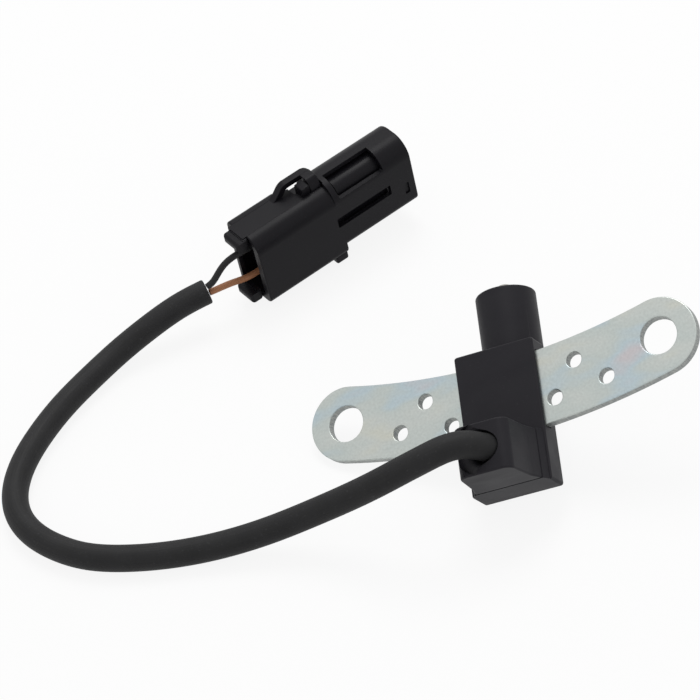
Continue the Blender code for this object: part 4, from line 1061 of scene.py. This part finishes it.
class SENSOR_OT_cable(bpy.types.Operator):
    """Add the cable and its two wires"""

    bl_idname = "sensor.cable"
    bl_label = "Cable"

    def execute(self, context):
        s = context.scene.sensor_cable
        rubber = extruded_rubber("extruded_cable_rubber", s.jacket, 0.62, 0.35)
        form, route = cord_form(JACKET_ROUTE, s.jacket_diameter, 1.2 * MM, 40, 0.5 * MM)
        cable = finish(form, "cable", Matrix(), rubber, "cable_jacket")
        black = extruded_rubber("extruded_black_insulation", linear("#242425"), 0.5, 0.12)
        brown = extruded_rubber("extruded_brown_insulation", s.brown, 0.5, 0.12)
        wires = []
        for name, points, rubber, slot in (("black_wire", BLACK_ROUTE, black, "black_insulation"),
                                           ("brown_wire", BROWN_ROUTE, brown, "brown_insulation")):
            form, _ = cord_form(points, s.wire_diameter, 0.8 * MM, 24, 0.15 * MM)
            replaced = "wire_" + name.split("_")[0]
            wires.append(finish(form, name, CONNECTOR, rubber, replaced))
        CABLE_END.update(cable=cable, wires=wires, exit=route[0], length=route_length(route), path=route)
        return {"FINISHED"}


class SENSOR_OT_bracket(bpy.types.Operator):
    """Add the steel bracket"""

    bl_idname = "sensor.bracket"
    bl_label = "Bracket"

    def execute(self, context):
        s = context.scene.sensor_bracket
        steel = zinc_plated_sheet_steel(s)
        finish(bracket_form(s), "bracket_plate", SENSOR, steel, "bracket")
        return {"FINISHED"}


class SENSOR_OT_mouldings(bpy.types.Operator):
    """Add the sensor's housing, its cable cover and the pole piece"""

    bl_idname = "sensor.mouldings"
    bl_label = "Mouldings"

    def execute(self, context):
        s = context.scene.sensor_housing
        nylon = moulded_nylon("moulded_glass_filled_nylon", s.plastic, SENSOR, 0.48, 0.14)
        finish(housing_form(s), "housing", SENSOR, nylon, "sensor_housing")
        cover = cover_form(context.scene.sensor_cable)
        finish(cover, "cable_cover", SENSOR, nylon, "cable_housing")
        iron = metal("turned_soft_iron", "#B5B2AB", 0.36, (0.4, 0.08, 0.4), 0.01, SENSOR)
        finish(pole_form(s), "pole_pin", SENSOR, iron, "pole_piece")
        return {"FINISHED"}


class SENSOR_OT_connector(bpy.types.Operator):
    """Add the connector's body, tower, lock and wire seals"""

    bl_idname = "sensor.connector"
    bl_label = "Connector"

    def execute(self, context):
        s, cable = context.scene.sensor_connector, context.scene.sensor_cable
        nylon = moulded_nylon("moulded_connector_nylon", s.plastic, CONNECTOR, 0.42, 0.12)
        silicone = polymer("moulded_silicone", "#7A3A2B", 0.55, 0.3, 0.01, CONNECTOR)
        made = [finish(form, name, CONNECTOR, nylon, replaced)
                for form, name, replaced in ((connector_form(s), "connector_shell", "connector_body"),
                                             (core_form(s), "connector_tower", "connector_core"),
                                             (lock_form(s), "lock", "secondary_lock"))]
        for name, level in (("upper", s.pitch / 2), ("lower", -s.pitch / 2)):
            made.append(finish(seal_form(s, cable, level), "seal_" + name, CONNECTOR, silicone,
                               "wire_seal_" + name))
        CABLE_END["connector"] = made
        return {"FINISHED"}


class SENSOR_OT_inner_finishes(bpy.types.Operator):
    """Give the solids inside the sensor and the connector their own finishes"""

    bl_idname = "sensor.inner_finishes"
    bl_label = "Inner finishes"

    def execute(self, context):
        brass = metal("tinned_stamped_brass", "#CFCBB8", 0.34, (3.0, 0.2, 0.2), 0.008, SENSOR)
        black = polymer("black_insulation_inside", "#242425", 0.5, 0.2, 0.008, SENSOR)
        finishes = {
            "magnet": metal("nickel_plated_magnet", "#C4BFB6", 0.24, (1.5, 1.5, 1.5), 0.004, SENSOR),
            "coil_bobbin": polymer("natural_moulded_nylon", "#B9AE93", 0.5, 0.25, 0.008, SENSOR),
            # The wire is about 0.1 mm thick, drawn here at twice that so that its turns show.
            "coil_winding": metal("enamelled_copper_wire", "#B4643A", 0.34, (4.0, 0.2, 4.0), 0.05, SENSOR,
                                  metallic=0.9),
            "terminal_left": brass,
            "terminal_right": brass,
            "potting": polymer("cast_epoxy", "#2B2A2A", 0.26, 0.8, 0.006, SENSOR),
            "lead_black": black,
            "lead_brown": polymer("brown_insulation_inside", "#9C6546", 0.5, 0.2, 0.008, SENSOR),
            "contact_upper": metal("tinned_contact", "#CFCBB8", 0.3, (2.0, 0.15, 0.15), 0.006, CONNECTOR),
        }
        finishes["contact_lower"] = finishes["contact_upper"]
        for node, material in finishes.items():
            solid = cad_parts[node]
            solid.data.materials.clear()
            solid.data.materials.append(material)
        CABLE_END["connector"] += [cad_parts["contact_upper"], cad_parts["contact_lower"]]
        return {"FINISHED"}


class SENSOR_OT_cord_facts(bpy.types.Operator):
    """Stop with an error unless the connector has been added"""

    bl_idname = "sensor.cord_facts"
    bl_label = "Cable facts"

    def execute(self, context):
        if "connector" not in CABLE_END:
            raise RuntimeError("add the cable and the connector first")
        return {"FINISHED"}


class SENSOR_PT_panel(bpy.types.Panel):
    """Sizes, colours and builders of the sensor"""

    bl_idname = "SENSOR_PT_panel"
    bl_label = "Crankshaft position sensor"
    bl_space_type = "VIEW_3D"
    bl_region_type = "UI"
    bl_category = "Sensor"

    def draw(self, context):
        for name, _ in GROUPS:
            box = self.layout.box()
            group = getattr(context.scene, name)
            for key in group.__annotations__:
                box.prop(group, key)
        for operator in OPERATORS:
            self.layout.operator(operator.bl_idname)


GROUPS = (("sensor_bracket", BracketSettings), ("sensor_housing", HousingSettings),
          ("sensor_cable", CableSettings), ("sensor_connector", ConnectorSettings),
          ("sensor_stage", StageSettings))
OPERATORS = (SENSOR_OT_stage, SENSOR_OT_cable, SENSOR_OT_bracket, SENSOR_OT_mouldings, SENSOR_OT_connector,
             SENSOR_OT_inner_finishes, SENSOR_OT_cord_facts)


def register():
    for name, group in GROUPS:
        bpy.utils.register_class(group)
        setattr(bpy.types.Scene, name, PointerProperty(type=group))
    for entry in (*OPERATORS, SENSOR_PT_panel):
        bpy.utils.register_class(entry)


def unregister():
    for entry in (SENSOR_PT_panel, *reversed(OPERATORS)):
        bpy.utils.unregister_class(entry)
    for name, group in reversed(GROUPS):
        delattr(bpy.types.Scene, name)
        bpy.utils.unregister_class(group)


def main():
    register()
    bpy.ops.sensor.stage()
    bpy.ops.sensor.cable()
    bpy.ops.sensor.bracket()
    bpy.ops.sensor.mouldings()
    bpy.ops.sensor.connector()
    bpy.ops.sensor.inner_finishes()
    bpy.ops.sensor.cord_facts()


if __name__ == "__main__":
    main()
